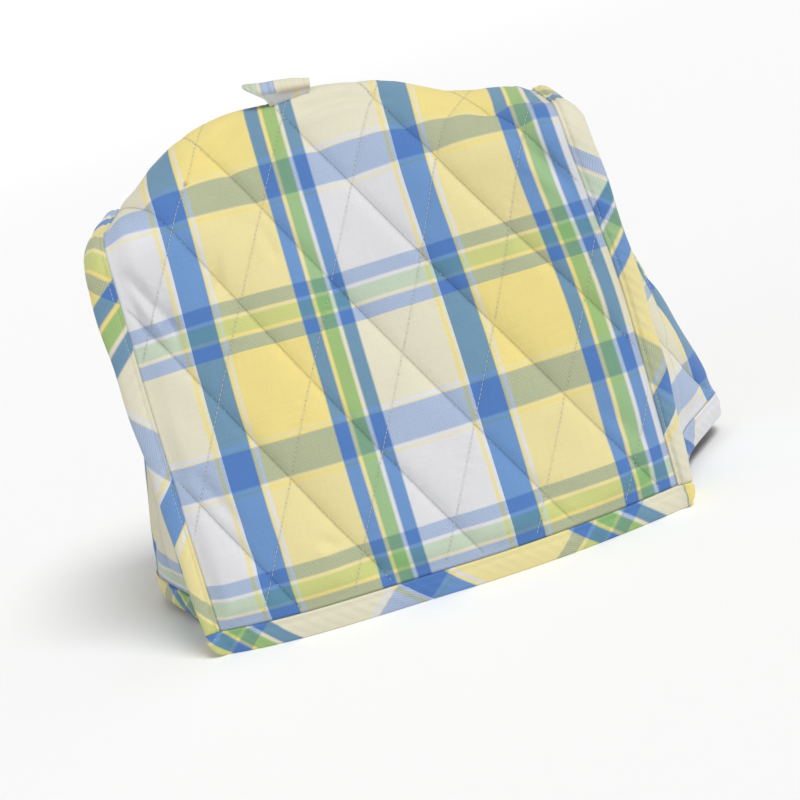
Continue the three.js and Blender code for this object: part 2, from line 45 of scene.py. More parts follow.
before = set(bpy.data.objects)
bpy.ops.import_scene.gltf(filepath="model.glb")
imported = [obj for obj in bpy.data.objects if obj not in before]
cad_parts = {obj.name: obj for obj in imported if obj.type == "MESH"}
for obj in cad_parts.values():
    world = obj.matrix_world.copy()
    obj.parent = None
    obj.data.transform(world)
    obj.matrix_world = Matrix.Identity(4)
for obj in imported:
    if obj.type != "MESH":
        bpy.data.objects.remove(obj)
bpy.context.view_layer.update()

MM = 0.001


def rows(names, *values):
    """A short table with named columns."""
    return dict(zip(names.split(), np.array(values, float).T))


# The cover's own sizes, as in its solids
HALF_WIDTH = 143.0
HEM_HALF_DEPTH = 84.0
TOP_HALF_DEPTH = 64.0
SHOULDER = 245.0
SHOULDER_RADIUS = 22.0
HEM_BAND = 15.0
HEM_BAND_HALF = 2.3
SEAM_GAP = 0.3
SHEET_HALF = 1.0
FLANGE_WIDTH = 13.0
END_INSET = 3.3
END_OFFSET = 2.6
STRAP_HALF = 1.2
LEFT_RISE = 8.0
RIGHT_RISE = 4.5
LEFT_FOOT_FORWARD = 15.0
LEFT_SHOULDER_IN = 3.6
RIGHT_SHOULDER_IN = 8.4
STRIP_LENGTH = 586.0
FOLD_FADE = 1.7
QUILT_PITCH = 56.0
QUILT_HEIGHT = 102.0
QUILT_ACROSS = 8.7
QUILT_ALONG = 23.7
QUILT_FADE = 14.0
END_CLOTH_WIDTH = 20 / 6 * QUILT_PITCH
HEM_TOP = HEM_BAND + SEAM_GAP

CROWN = rows("y z", (-107, 15.3), (-88, 100), (-57, 200), (-30, 261), (-5, 290), (22, 269), (52, 200),
             (80, 100), (98, 15.3))
RIDGE = rows("x rise", (-143, 0), (-127, 0.2), (-107, 0.52), (-80, 0.84), (-50, 0.98), (-18, 1), (20, 0.98),
             (52, 0.79), (84, 0.44), (110, 0.24), (130, 0.1), (143, 0))
HEM_FOLD = {
    "right": rows("out y lift", (2.6, -81.1, 0), (4.5, -66, 1), (9, -46, 5), (20, -20, 10), (40, 10, 12),
                  (52, 32, 12), (44, 49, 8), (22, 63, 3), (6, 74, 0), (2.6, 81.1, 0)),
    "left": rows("out y lift", (2.6, -81.1, 0), (5, -70, 0), (14, -44, 2), (34, -10, 6), (46, 20, 7),
                 (43, 40, 6), (27, 58, 4), (8, 72, 0), (2.6, 81.1, 0)),
}
FLANGE = {
    "right": rows("along width lean", (0, 0.72, -6), (0.05, 0.88, -14), (0.12, 1.04, -16), (0.25, 0.97, -6),
                  (0.35, 1.18, -12), (0.4, 1.24, -32), (0.46, 1.05, -34), (0.54, 0.98, -26), (0.6, 1.08, -30),
                  (0.66, 1, -12), (0.8, 0.97, -8), (0.95, 0.85, -12), (1, 0.72, -6)),
    "left": rows("along width lean", (0, 0.72, -6), (0.05, 0.86, -12), (0.12, 0.98, -18), (0.28, 1.14, -4),
                 (0.36, 1.32, -14), (0.4, 1.3, -34), (0.5, 1, -16), (0.6, 1.08, -28), (0.66, 1.02, -10),
                 (0.8, 0.96, -6), (0.95, 0.8, -12), (1, 0.72, -6)),
}
FLANGE_SECTION = rows("out up", (0, -1.5), (0, 1.5), (0.2, 2.5), (0.52, 3), (0.8, 2.6), (0.95, 1), (0.95, -1),
                      (0.8, -2.6), (0.52, -2.8), (0.2, -2.2))
HEM_SECTION = rows("reach z", (0, 1), (0.2, 0), (0.8, 0), (1, 1.6), (1.1, 8), (1, 13.6), (0.8, 15), (0, 15))
EAR = rows("out side inner_out inner_side cut", (1, 2.8, -2, -2.3, 0), (5, 3.5, -1.4, -2.3, 1.5),
           (8.2, 2.8, -0.9, -2.3, 5), (9.4, 0.3, -0.4, -2.4, 7.5), (8.2, -2.6, 0, -2.7, 5),
           (5.6, -3.6, 0.2, -3.3, 1.5))
LOOP = rows("left_x left_y left_z right_x right_y right_z", (-25, 4, 0, 0, 4, 0), (-27, 7, 7, 1, 6.5, 3.6),
            (-33, 5, 14, 2, 4, 8), (-38, -2, 16, 2.5, -2, 9.2), (-34, -8, 12, 2, -7.5, 7),
            (-27, -7, 5.5, 1, -7, 3.4), (-25, -4, 0, 0, -4, 0))

# Stripes of the plaid: where each starts in the repeat, and its yarn
WARP_REPEAT = 151.0
WARP_STRIPES = ((0, "blue"), (17.5, "yellow"), (19.5, "white"), (21.5, "yellow"), (68, "blue"),
                (76.7, "yellow"), (79, "green"), (87.3, "white"), (89.6, "blue"), (97.9, "white"),
                (146.6, "yellow"), (148.8, "white"))
WEFT_REPEAT = 155.0
WEFT_STRIPES = ((0, "blue"), (8.5, "yellow"), (10.5, "green"), (19.5, "white"), (21.5, "blue"), (30, "white"),
                (77, "yellow"), (79, "white"), (81, "blue"), (102, "yellow"), (103.5, "white"),
                (105.5, "yellow"))

# Direction across the twill's ribs, which run nearly along the warp, and how far they waver, in mm
TWILL_ACROSS = 0.95
TWILL_ALONG = 0.31
TWILL_WAVER = 3.0
# How much ribs and grain change the warp's share of the face
RIB_SHARE = 0.06
GRAIN_SHARE = 0.24
# How much slubs, faded patches and ribs change the cloth's brightness, and how much painted shade darkens the
# bottoms of seams
SLUB_LIGHT = 0.1
PATCH_LIGHT = 0.08
RIB_LIGHT = 0.012
SEAM_SHADE = 0.14

# Where the main cloth lies in the plaid: at the middle of its width, and at its front hem, near which
# its crosswise stripes are drawn together
MAIN_WARP_START = 110.0
MAIN_WEFT_START = 4.5
HEM_EASE = 2.8

# Soft unevenness of the stuffed cloth: height, wavelengths across and along, and phase
UNEVEN = rows("height across along phase", (0.9, 171, 233, 0.4), (0.6, -97, 149, 2.1), (0.4, 61, -88, 4.4),
              (0.3, -45, -58, 1.2))

# Creases laid on the main cloth, from one cloth place to another: depth below zero is a trough
CREASES = rows("x0 s0 x1 s1 depth width",
               (-141, 216, -133, 176, -4.6, 3.4), (-134, 210, -118, 176, -4.8, 3.2),
               (-118, 194, -117, 162, -3.0, 3.4), (-10, 279, 18, 280, -3.2, 4), (18, 280, 46, 277, -2.2, 4),
               (-51, 278, -80, 264, -2.0, 4.5), (118, 222, 136, 190, -3.0, 4), (96, 250, 120, 262, -2.0, 5),
               (-128, 92, -112, 60, -1.8, 4), (-82, 204, -87, 186, -1.8, 3.2),
               (-49, 214, -48, 198, -1.8, 3.2), (-68, 38, -58, 30, -1.6, 3.4), (60, 30, 92, 12, -1.2, 6),
               (-60, 24, -34, 8, -1.2, 6), (112, 60, 132, 32, -1.3, 5))
# A small stain on the main cloth, by its place on the cloth
STAIN_PLACE = (-88.0, 255.5)
STAIN_RADIUS = 2.2


def linear(red, green, blue):
    """A colour given as display values from 0 to 255, as the renderer wants it."""
    shares = [value / 255 for value in (red, green, blue)]
    return tuple(s / 12.92 if s <= 0.04045 else ((s + 0.055) / 1.055) ** 2.4 for s in shares)


def amount(name, text, default, low, high, **more):
    return FloatProperty(name=name, description=text, default=default, min=low, max=high, **more)


def colour(name, text, red, green, blue):
    return FloatVectorProperty(name=name, description=text, subtype="COLOR", size=3,
                               default=linear(red, green, blue), min=0, max=1)


class CoverCloth(bpy.types.PropertyGroup):
    """The quilted plaid cloth."""
    puff_out: amount("Puff outwards", "Swell of a quilted diamond on the outside, in mm", 4.3, 0, 6)
    puff_in: amount("Puff inwards", "Swell of a quilted diamond on the inside, in mm", 1.2, 0, 4)
    cross_depth: amount("Second family", "Depth of the shallower family of quilt lines", 0.42, 0, 1,
                        subtype="FACTOR")
    pucker: amount("Pucker", "Height of the small puckers along the sewing, in mm", 0.26, 0, 1)
    cell: amount("Cell", "Largest mesh cell of a cloth, in mm", 1.62, 0.8, 8)
    white: colour("White yarn", "Colour of the white yarn", 217, 217, 220)
    yellow: colour("Yellow yarn", "Colour of the yellow yarn", 232, 215, 137)
    blue: colour("Blue yarn", "Colour of the lengthwise blue yarn", 80, 125, 188)
    blue_across: colour("Crosswise blue yarn", "Colour of the crosswise blue yarn", 80, 113, 178)
    green: colour("Green yarn", "Colour of the green yarn", 133, 176, 114)
    warp_share: amount("Warp share", "How much of the face the lengthwise yarns make up", 0.72, 0, 1,
                       subtype="FACTOR")
    twill_pitch: amount("Twill pitch", "Distance between the twill's ribs, in mm", 1.25, 0.5, 6)


class CoverSewing(bpy.types.PropertyGroup):
    """The threads."""
    length: amount("Stitch", "Length of one stitch, in mm", 2.0, 1, 8)
    gap: amount("Gap", "Distance between two stitches, in mm", 0.8, 0.2, 4)
    radius: amount("Thread radius", "Half of the thread's thickness, in mm", 0.14, 0.1, 1)
    arch: amount("Arch", "Height of a stitch's middle over its ends, in mm", 0.22, 0, 2)
    hole: amount("Needle hole", "Half of a needle hole's width, in mm", 0.27, 0.05, 1)
    quilting: colour("Quilting thread", "Colour of the quilting thread", 216, 212, 198)
    # Colour of the dark discs of painted shade laid in the needle holes' dimples
    holes: colour("Hole shade", "Colour in the needle holes", 138, 134, 120)
    edges: colour("Edge thread", "Colour of the thread on the bindings", 214, 196, 158)


class CoverStage(bpy.types.PropertyGroup):
    """Floor, light and camera."""
    key: amount("Key light", "Strength of the main light", 1.95, 0, 20)
    fill: amount("Fill light", "Strength of the light from the other side", 0.12, 0, 20)
    softness: amount("Softness", "Angle that each light covers", math.radians(24), 0, math.pi,
                     subtype="ANGLE")
    sky: amount("Surroundings", "Brightness of the pale surroundings", 0.42, 0, 4)
    floor: colour("Floor", "Colour of the floor", 250, 250, 250)


# Curves and surfaces of the cover

def smooth(value, low, high):
    t = np.clip((value - low) / (high - low), 0, 1)
    return t * t * (3 - 2 * t)


def unit(vectors):
    return vectors / np.linalg.norm(vectors, axis=-1, keepdims=True)


def run_lengths(points):
    """How far along a line of points each of them lies."""
    return np.concatenate([[0], np.cumsum(np.linalg.norm(np.diff(points, axis=0), axis=1))])


def catmull_rom(points, per_row, closed=False):
    """Smooth line through the rows of an array, closely sampled."""
    points = np.asarray(points, float)
    around = np.vstack([points[-1:], points, points[:2]]) if closed else np.vstack(
        [points[:1], points, points[-1:]])
    t = np.linspace(0, 1, per_row, endpoint=False)[:, None]
    spans = []
    for a, b, c, d in zip(around, around[1:], around[2:], around[3:]):
        start, end = (c - a) / 2, (d - b) / 2
        spans.append(b + t * (start + t * (3 * (c - b) - 2 * start - end + t * (2 * (b - c) + start + end))))
    return np.vstack(spans if closed else [*spans, points[-1:]])


def line_through(table, *names, per_row=24):
    return catmull_rom(np.stack([table[name] for name in names], axis=-1), per_row)


def column(table, key, name, value, per_row=24):
    """Value of a table's column where its key column has the given value."""
    count = len(table[key])
    places = np.linspace(0, count - 1, (count - 1) * per_row + 1)
    keys = np.interp(places, np.arange(count), table[key])
    return np.interp(value, keys, line_through(table, name, per_row=per_row)[:, 0])


class Line:
    """A sampled line that is read by the fraction of its own length."""

    def __init__(self, points):
        self.points = np.asarray(points, float)
        self.lengths = run_lengths(self.points)
        self.total = self.lengths[-1]

    def at(self, fraction):
        wanted = np.clip(fraction, 0, 1) * self.total
        return np.stack([np.interp(wanted, self.lengths, axis) for axis in self.points.T], axis=-1)


SHOULDER_STEPS = 24


def seam_line():
    """The end seam in the YZ plane: up the front, round the shoulders and down the back."""
    lean = np.arctan2(HEM_HALF_DEPTH - TOP_HALF_DEPTH, SHOULDER)
    turn = np.pi / 2 - lean
    trim = SHOULDER_RADIUS * np.tan(turn / 2)
    angle = np.pi - lean - turn * np.linspace(0, 1, SHOULDER_STEPS + 1)
    arc = np.stack([-TOP_HALF_DEPTH + trim + SHOULDER_RADIUS * np.cos(angle),
                    SHOULDER - SHOULDER_RADIUS + SHOULDER_RADIUS * np.sin(angle)], axis=-1)
    half = np.vstack([[-(HEM_HALF_DEPTH - HEM_TOP * np.tan(lean)), HEM_TOP], arc])
    return Line(np.vstack([half, half[::-1] * (-1, 1)]))


SEAM = seam_line()
CREST = Line(line_through(CROWN, "y", "z"))
SHOULDER_END = SEAM.lengths[1 + SHOULDER_STEPS] / SEAM.total


def origin_shift():
    """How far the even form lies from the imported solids' origin, read from the main panel's own box."""
    low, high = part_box("main_panel")
    back_edge = CROWN["y"][-1] + SHEET_HALF
    return np.array([-HALF_WIDTH - low.x / MM, back_edge - high.y / MM, 0])


MIDDLE = origin_shift()


def settle(points):
    """Pulls points of the even form to where the cloth really stands."""
    x, y, z = np.moveaxis(points, -1, 0)
    left, right = smooth(-x, 0, HALF_WIDTH), smooth(x, 0, HALF_WIDTH)
    top = smooth(z, SHOULDER / 2, SHOULDER)
    foot = 1 - smooth(z, HEM_BAND, 2 * SHOULDER / 3)
    front = smooth(-y, HEM_HALF_DEPTH / 4, HEM_HALF_DEPTH)
    return np.stack([
        x + (LEFT_SHOULDER_IN * left - RIGHT_SHOULDER_IN * right) * top,
        y - LEFT_FOOT_FORWARD * left * foot * front,
        z + (LEFT_RISE * left + RIGHT_RISE * right) * smooth(z, HEM_TOP, SHOULDER),
    ], axis=-1) - MIDDLE


def main_middle(x, s):
    """Middle layer of the main cloth: x across, s along the cloth from the front hem."""
    v = s / STRIP_LENGTH
    height = smooth(1 - np.abs(2 * v - 1), 0.1, 0.95)
    part = (1 - height) * (1 - (x / HALF_WIDTH) ** 2) + height * column(RIDGE, "x", "rise", x)
    y, z = np.moveaxis(SEAM.at(v) * (1 - part)[..., None] + CREST.at(v) * part[..., None], -1, 0)
    return np.stack([x + 0 * v, y, z], axis=-1)


def normals(surface, a, b, step_a, step_b):
    """Unit normals of a surface of two parameters."""
    across = surface(a + step_a, b) - surface(a - step_a, b)
    along = surface(a, b + step_b) - surface(a, b - step_b)
    return unit(np.cross(across, along))


def seam_frame(fraction):
    """The seam's point and its outward direction in the YZ plane."""
    y, z = np.moveaxis(SEAM.at(fraction), -1, 0)
    along = unit(SEAM.at(fraction + 0.004) - SEAM.at(fraction - 0.004))
    return y, z, -along[..., 1], along[..., 0]


def hem_fold(side_name):
    line = Line(line_through(HEM_FOLD[side_name], "out", "y", "lift"))

    def at(fraction):
        out, y, lift = np.moveaxis(line.at(fraction), -1, 0)
        return out, y, np.maximum(lift, 0)
    return at


def end_patch(side_name):
    """Middle layer of an end cloth: u from its front edge to its back one, v from the hem up."""
    side = 1 if side_name == "right" else -1
    fold = hem_fold(side_name)

    def edge(fraction):
        y, z, up_y, up_z = seam_frame(fraction)
        footing = smooth(np.minimum(fraction, 1 - fraction), 0, 0.05)
        x = np.full_like(y, side * (HALF_WIDTH + END_OFFSET))
        return np.stack([x, y - up_y * END_INSET, z - up_z * END_INSET * footing], axis=-1)

    def bottom(u):
        out, y, lift = fold(u)
        return np.stack([side * (HALF_WIDTH + out), y, HEM_TOP + lift], axis=-1)

    def patch(u, v):
        u, v = np.broadcast_arrays(np.asarray(u, float), np.asarray(v, float))
        low = (1 - v)[..., None] ** FOLD_FADE
        high = 1 - low
        near, far = (1 - u)[..., None], u[..., None]
        top = edge(SHOULDER_END + (1 - 2 * SHOULDER_END) * u)
        first, last = edge(SHOULDER_END * v), edge(1 - SHOULDER_END * v)
        none, all_u = np.zeros_like(u), np.ones_like(u)
        point = bottom(u) * low + top * high + first * near + last * far
        point -= bottom(none) * near * low + bottom(all_u) * far * low
        corner_front = edge(np.full_like(u, SHOULDER_END))
        corner_back = edge(np.full_like(u, 1 - SHOULDER_END))
        return point - corner_front * near * high - corner_back * far * high
    return patch


# Relief of the quilting

LINE_SPACING = 1 / math.hypot(1 / QUILT_PITCH, 1 / QUILT_HEIGHT)
# Half of the width of a seam's sharp bottom
SEAM_WIDTH = 0.65
# The stuffing's slope beside a stitch line: how far it takes to rise, and how round the groove's bottom is
GROOVE_REACH = 3.9
GROOVE_ROUND = 0.8
# Along the ridge the stuffing is pulled flat: how much, at which height, and from where to where beside it
RIDGE_PULL = 0.7
RIDGE_SWELL = 0.85
RIDGE_PULL_FROM = 6
RIDGE_PULL_TO = 44
PUCKER_REACH = 5.0
PUCKER_WAVE = 5.4


def quilt(across, along, cross_depth):
    """Height of the stuffing, 0 on a deep stitch line to 1: one family of lines is deeper than the other."""
    a, b = across / QUILT_PITCH, along / QUILT_HEIGHT

    def family(value):
        away = np.abs(value - np.round(value)) * LINE_SPACING
        slope = 1 - np.exp(-away ** 2 / (GROOVE_REACH * np.sqrt(away ** 2 + GROOVE_ROUND ** 2)))
        return 0.32 * np.abs(np.sin(np.pi * value)) + 0.68 * slope
    return family(a + b) * (1 - cross_depth * (1 - family(a - b)))


def quilt_places(across, along, strength):
    """Where a point lies between the stitch lines of both families, and how much of a seam shows there."""
    a, b = across / QUILT_PITCH, along / QUILT_HEIGHT
    return np.stack(np.broadcast_arrays(a + b, a - b, strength), axis=-1)


def puckers(across, along, height):
    """Small puckers that cross both families of stitch lines and die out beside them."""
    diagonal = math.hypot(QUILT_PITCH, QUILT_HEIGHT)
    total = np.zeros(np.broadcast(across, along).shape)
    for turn in (1, -1):
        value = across / QUILT_PITCH + turn * along / QUILT_HEIGHT
        number = np.round(value)
        away = np.abs(value - number) * LINE_SPACING
        run = (across * QUILT_PITCH - turn * along * QUILT_HEIGHT) / diagonal
        ripple = np.sin(2 * np.pi * run / PUCKER_WAVE + 2.4 * number + 2.6 * np.sin(run / 11 + number))
        ripple += 0.6 * np.sin(2 * np.pi * run / 8.3 + 1.1 * number + 1.9 * np.sin(run / 17))
        strength = 0.4 + 0.6 * np.sin(run / 19 + 1.9 * number) * np.sin(run / 43 + number)
        total += ripple * strength * np.exp(-(away / PUCKER_REACH) ** 2) * smooth(away, -1.5, 2.5)
    return height * total


def unevenness(across, along):
    total = np.zeros(np.broadcast(across, along).shape)
    for height, wave_a, wave_b, phase in zip(*UNEVEN.values()):
        total += height * np.sin(2 * np.pi * (across / wave_a + along / wave_b) + phase)
    return total


def creases(x, s):
    """Soft troughs laid one by one, each fading out at its two ends."""
    total = np.zeros(np.broadcast(x, s).shape)
    for x0, s0, x1, s1, depth, width in zip(*CREASES.values()):
        length = math.hypot(x1 - x0, s1 - s0)
        run = ((x - x0) * (x1 - x0) + (s - s0) * (s1 - s0)) / length
        away = ((x - x0) * (s1 - s0) - (s - s0) * (x1 - x0)) / length
        inside = smooth(run, -0.35 * length, 0.3 * length) * (1 - smooth(run, 0.7 * length, 1.35 * length))
        beside = np.exp(-((away - 2 * width) / width) ** 2)
        total += depth * inside * (np.exp(-(away / width) ** 2) - 0.45 * beside)
    return total


def puffed(middle, normal, swell, shift, cloth):
    """Outer and inner face of a stuffed cloth. The shift moves both."""
    outer = middle + normal * (SHEET_HALF + cloth.puff_out * swell + shift)[..., None]
    inner = middle - normal * (SHEET_HALF + cloth.puff_in * swell - shift)[..., None]
    return outer, inner


def main_faces(cloth):
    """The main cloth's outer and inner face, as functions of its cloth places."""
    def layers(x, s):
        edge = np.minimum(HALF_WIDTH - np.abs(x), np.minimum(s, STRIP_LENGTH - s))
        fade = smooth(edge, 0, QUILT_FADE)
        across, along = x - QUILT_ACROSS, s - QUILT_ALONG
        flatter = RIDGE_PULL * (1 - smooth(np.abs(s - STRIP_LENGTH / 2), RIDGE_PULL_FROM, RIDGE_PULL_TO))
        swell = fade * (quilt(across, along, cloth.cross_depth) * (1 - flatter) + RIDGE_SWELL * flatter)
        normal = normals(main_middle, x, s, 1, STRIP_LENGTH * 0.004)
        on_seam = 1 - smooth(HALF_WIDTH - np.abs(x), 0, 6)
        normal[..., 0] *= 1 - on_seam
        on_hem = 1 - smooth(np.minimum(s, STRIP_LENGTH - s), 0, 6)
        normal[..., 2] *= 1 - on_hem
        shift = (unevenness(x, s) + creases(x, s)) * fade
        shift += puckers(across, along, cloth.pucker) * smooth(edge, 0, 5)
        return puffed(main_middle(x, s), unit(normal), swell, shift, cloth)
    return layers


def end_faces(side_name, cloth):
    """An end cloth's outer and inner face, as functions of u and v."""
    side = 1 if side_name == "right" else -1
    patch = end_patch(side_name)
    rise = end_rise(patch)

    def layers(u, v):
        across, along = u * END_CLOTH_WIDTH, rise(v)
        edge = np.minimum(np.minimum(u, 1 - u), np.minimum(v, 1 - v) * 1.4)
        fade = smooth(edge, 0, 0.1)
        swell = quilt(across, along, cloth.cross_depth) * fade
        normal = normals(patch, np.clip(u, 0.02, 0.98), np.clip(v, 0.02, 0.98), 0.015, 0.015) * side
        at_seam = (1 - smooth(np.minimum(np.minimum(u, 1 - u), 1 - v), 0, 0.04))[..., None]
        normal = normal * (1 - at_seam) + np.array([side, 0, 0]) * at_seam
        normal[..., 2] *= smooth(v, 0, 0.04)
        shift = 1.2 * unevenness(across + 40 * side, along) * fade
        shift += puckers(across, along, cloth.pucker) * smooth(edge, 0, 0.04)
        return puffed(patch(u, v), unit(normal), swell, shift, cloth)
    return layers


def end_rise(patch):
    """How high above the hem an end cloth's rows lie, along its front edge."""
    steps = np.linspace(0, 1, 60)
    heights = patch(np.zeros_like(steps), steps)[:, 2] - HEM_TOP
    return lambda v: np.interp(v, steps, heights)


# Meshes

COARSE = 3


def mesh_object(name, points, faces, places, seams=None):
    """A mesh in metres, faces outwards, that keeps its places on the cloth and between the quilt lines."""
    points = np.asarray(points, float)
    volume = 0.0
    for face in faces:
        corners = points[list(face)]
        volume += sum(np.dot(corners[0], np.cross(b, c)) for b, c in zip(corners[1:], corners[2:]))
    if volume < 0:
        faces = [face[::-1] for face in faces]
    mesh = bpy.data.meshes.new(name)
    mesh.from_pydata((points * MM).tolist(), [], [tuple(map(int, face)) for face in faces])
    mesh.polygons.foreach_set("use_smooth", [True] * len(mesh.polygons))
    for label, values in (("cloth", places), ("quilting", seams)):
        if values is not None:
            attribute = mesh.attributes.new(label, "FLOAT_VECTOR", "POINT")
            attribute.data.foreach_set("vector", np.asarray(values, float).ravel())
    mesh.update()
    obj = bpy.data.objects.new(name, mesh)
    bpy.context.scene.collection.objects.link(obj)
    return obj


def sheet_object(name, outer, inner, places, seams):
    """A closed sheet from its two faces on one grid; the hidden inner one keeps every third line."""
    count_r, count_c = outer.shape[:2]
    keep_r, keep_c = np.arange(0, count_r, COARSE), np.arange(0, count_c, COARSE)
    lower = inner[np.ix_(keep_r, keep_c)]
    points = np.vstack([outer.reshape(-1, 3), lower.reshape(-1, 3)])
    kept = [np.vstack([values.reshape(-1, 3), values[np.ix_(keep_r, keep_c)].reshape(-1, 3)])
            for values in (places, seams)]
    top = np.arange(count_r * count_c).reshape(count_r, count_c)
    low = count_r * count_c + np.arange(len(keep_r) * len(keep_c)).reshape(len(keep_r), len(keep_c))
    faces = [*grid_faces(top), *(face[::-1] for face in grid_faces(low))]
    rims = ((top[0], low[0]), (top[:, -1], low[:, -1]), (top[-1][::-1], low[-1][::-1]),
            (top[:, 0][::-1], low[:, 0][::-1]))
    for high_rim, low_rim in rims:
        for k in range(len(low_rim) - 1):
            run = high_rim[k * COARSE:(k + 1) * COARSE + 1]
            faces.append([*run[::-1], low_rim[k], low_rim[k + 1]])
    return mesh_object(name, points, faces, *kept)


def grid_faces(index):
    a, b, c, d = index[:-1, :-1], index[:-1, 1:], index[1:, 1:], index[1:, :-1]
    return np.stack([a, b, c, d], axis=-1).reshape(-1, 4).tolist()


def swept_object(name, sections, places, closed):
    """A solid through closed sections of equal count; the run of sections may close on itself."""
    count_s, count_p = sections.shape[:2]
    index = np.arange(count_s * count_p).reshape(count_s, count_p)
    around = np.concatenate([index, index[:, :1]], axis=1)
    if closed:
        around = np.concatenate([around, around[:1]])
    faces = grid_faces(around)
    if not closed:
        faces += [index[0][::-1].tolist(), index[-1].tolist()]
    return mesh_object(name, sections.reshape(-1, 3), faces, places.reshape(-1, 3))


def cells_for(length, cell):
    """A number of cells of at most the given size that the inner face's coarser grid divides."""
    return COARSE * math.ceil(length / cell / COARSE)


def bias_places(run, rise, start):
    """Places in the plaid of a strip cut on the bias: run along the strip, rise across it."""
    warp = start["warp"] + start["warp_turn"] * (run + rise) / math.sqrt(2)
    weft = start["weft"] + start["weft_turn"] * (run - rise) / math.sqrt(2)
    return np.stack([warp, weft, np.zeros_like(warp)], axis=-1)


BIAS_STARTS = {
    "left": {"warp": 45.5, "warp_turn": 1, "weft": 192.5, "weft_turn": -1},
    "right": {"warp": 151.5, "warp_turn": -1, "weft": 133.0, "weft_turn": 1},
    "hem": {"warp": 67.1, "warp_turn": 1, "weft": 163.2, "weft_turn": -1},
    "hem behind": {"warp": 3.5, "warp_turn": 1, "weft": 167.0, "weft_turn": -1},
    "hem left": {"warp": 122.1, "warp_turn": 1, "weft": 108.2, "weft_turn": -1},
}
# The hem's strip is stretched a little, and joined near both front corners and at the middle of the back
HEM_STRETCH = 1.08
HEM_RIGHT_JOIN = 292.0
HEM_LEFT_JOIN = 40.0


def hem_places(run, rise, total):
    parts = [bias_places((run - start) / HEM_STRETCH, rise, BIAS_STARTS[name]) for start, name in (
        (0, "hem"), (0, "hem behind"), (total, "hem left"), (total, "hem"))]
    place = run[..., None]
    ends = [place < end for end in (HEM_RIGHT_JOIN, total / 2, total - HEM_LEFT_JOIN)]
    return np.where(ends[0], parts[0], np.where(ends[1], parts[1], np.where(ends[2], parts[2], parts[3])))


# Materials

def nodes_of(material):
    material.use_nodes = True
    tree = material.node_tree
    tree.nodes.clear()
    shader = tree.nodes.new("ShaderNodeBsdfPrincipled")
    output = tree.nodes.new("ShaderNodeOutputMaterial")
    tree.links.new(shader.outputs["BSDF"], output.inputs["Surface"])
    return tree, shader


def put(tree, value, socket):
    """Gives a socket another node's output, or a constant."""
    if isinstance(value, bpy.types.NodeSocket):
        tree.links.new(value, socket)
    else:
        socket.default_value = value


def math_node(tree, operation, *values):
    node = tree.nodes.new("ShaderNodeMath")
    node.operation = operation
    for socket, value in zip(node.inputs, values):
        put(tree, value, socket)
    return node.outputs[0]


def mixed(tree, blend, factor, first, second):
    node = tree.nodes.new("ShaderNodeMix")
    node.data_type = "RGBA"
    node.blend_type = blend
    for place, value in ((0, factor), (6, first), (7, second)):
        put(tree, value, node.inputs[place])
    return node.outputs[2]


def toned(tree, shade, light):
    """A colour made lighter or darker."""
    node = tree.nodes.new("ShaderNodeVectorMath")
    node.operation = "SCALE"
    put(tree, shade, node.inputs[0])
    put(tree, light, node.inputs["Scale"])
    return node.outputs[0]


def relief(tree, height, strength, depth, under=None):
    """Fine relief of a depth in mm, on top of a coarser one where there is one."""
    bump = tree.nodes.new("ShaderNodeBump")
    bump.inputs["Strength"].default_value = strength
    bump.inputs["Distance"].default_value = depth * MM
    put(tree, height, bump.inputs["Height"])
    if under is not None:
        put(tree, under, bump.inputs["Normal"])
    return bump.outputs["Normal"]


def attribute_parts(tree, name):
    """An attribute of the mesh, whole and as its three parts."""
    source = tree.nodes.new("ShaderNodeAttribute")
    source.attribute_name = name
    parts = tree.nodes.new("ShaderNodeSeparateXYZ")
    tree.links.new(source.outputs["Vector"], parts.inputs["Vector"])
    return source.outputs["Vector"], parts.outputs


def stripe_ramp(tree, place, repeat, stripes, yarns):
    """The yarn's colour at a place in the repeat, with edges that blur over about a yarn."""
    blur = 0.35 / repeat
    share = math_node(tree, "FRACT", math_node(tree, "DIVIDE", place, repeat))
    ramp = tree.nodes.new("ShaderNodeValToRGB")
    tree.links.new(share, ramp.inputs["Fac"])
    stops = ramp.color_ramp.elements
    first = yarns[stripes[0][1]]
    stops[0].position = 0.0
    stops[0].color = (*first, 1)
    stops[1].position = 1.0
    stops[1].color = (*yarns[stripes[-1][1]], 1)
    for (_, before), (start, after) in zip(stripes, stripes[1:]):
        for offset, yarn in ((-blur, before), (blur, after)):
            stop = stops.new(start / repeat + offset)
            stop.color = (*yarns[yarn], 1)
    return ramp.outputs["Color"]


def yarn_noise(tree, places, scale, detail=2.0):
    """Unevenness of the yarns: noise on the cloth's places, stretched along one set of yarns."""
    stretch = tree.nodes.new("ShaderNodeMapping")
    stretch.inputs["Scale"].default_value = scale
    tree.links.new(places, stretch.inputs["Vector"])
    noise = tree.nodes.new("ShaderNodeTexNoise")
    noise.inputs["Scale"].default_value = 1.0
    noise.inputs["Detail"].default_value = detail
    tree.links.new(stretch.outputs["Vector"], noise.inputs["Vector"])
    return noise.outputs["Fac"]


def seam_lines(tree):
    """How deep a point lies in the sharp bottom of the quilting's seams, from 0 to about 1."""
    _, parts = attribute_parts(tree, "quilting")
    depths = []
    for family, depth in (("X", 1.0), ("Y", 0.6)):
        nearest = math_node(tree, "ROUND", parts[family])
        away = math_node(tree, "SUBTRACT", parts[family], nearest)
        away = math_node(tree, "MULTIPLY", away, LINE_SPACING / SEAM_WIDTH)
        square = math_node(tree, "MULTIPLY", away, away)
        fall = math_node(tree, "EXPONENT", math_node(tree, "MULTIPLY", square, -1.0))
        depths.append(math_node(tree, "MULTIPLY", fall, depth))
    return math_node(tree, "MULTIPLY", math_node(tree, "MAXIMUM", *depths), parts["Z"])


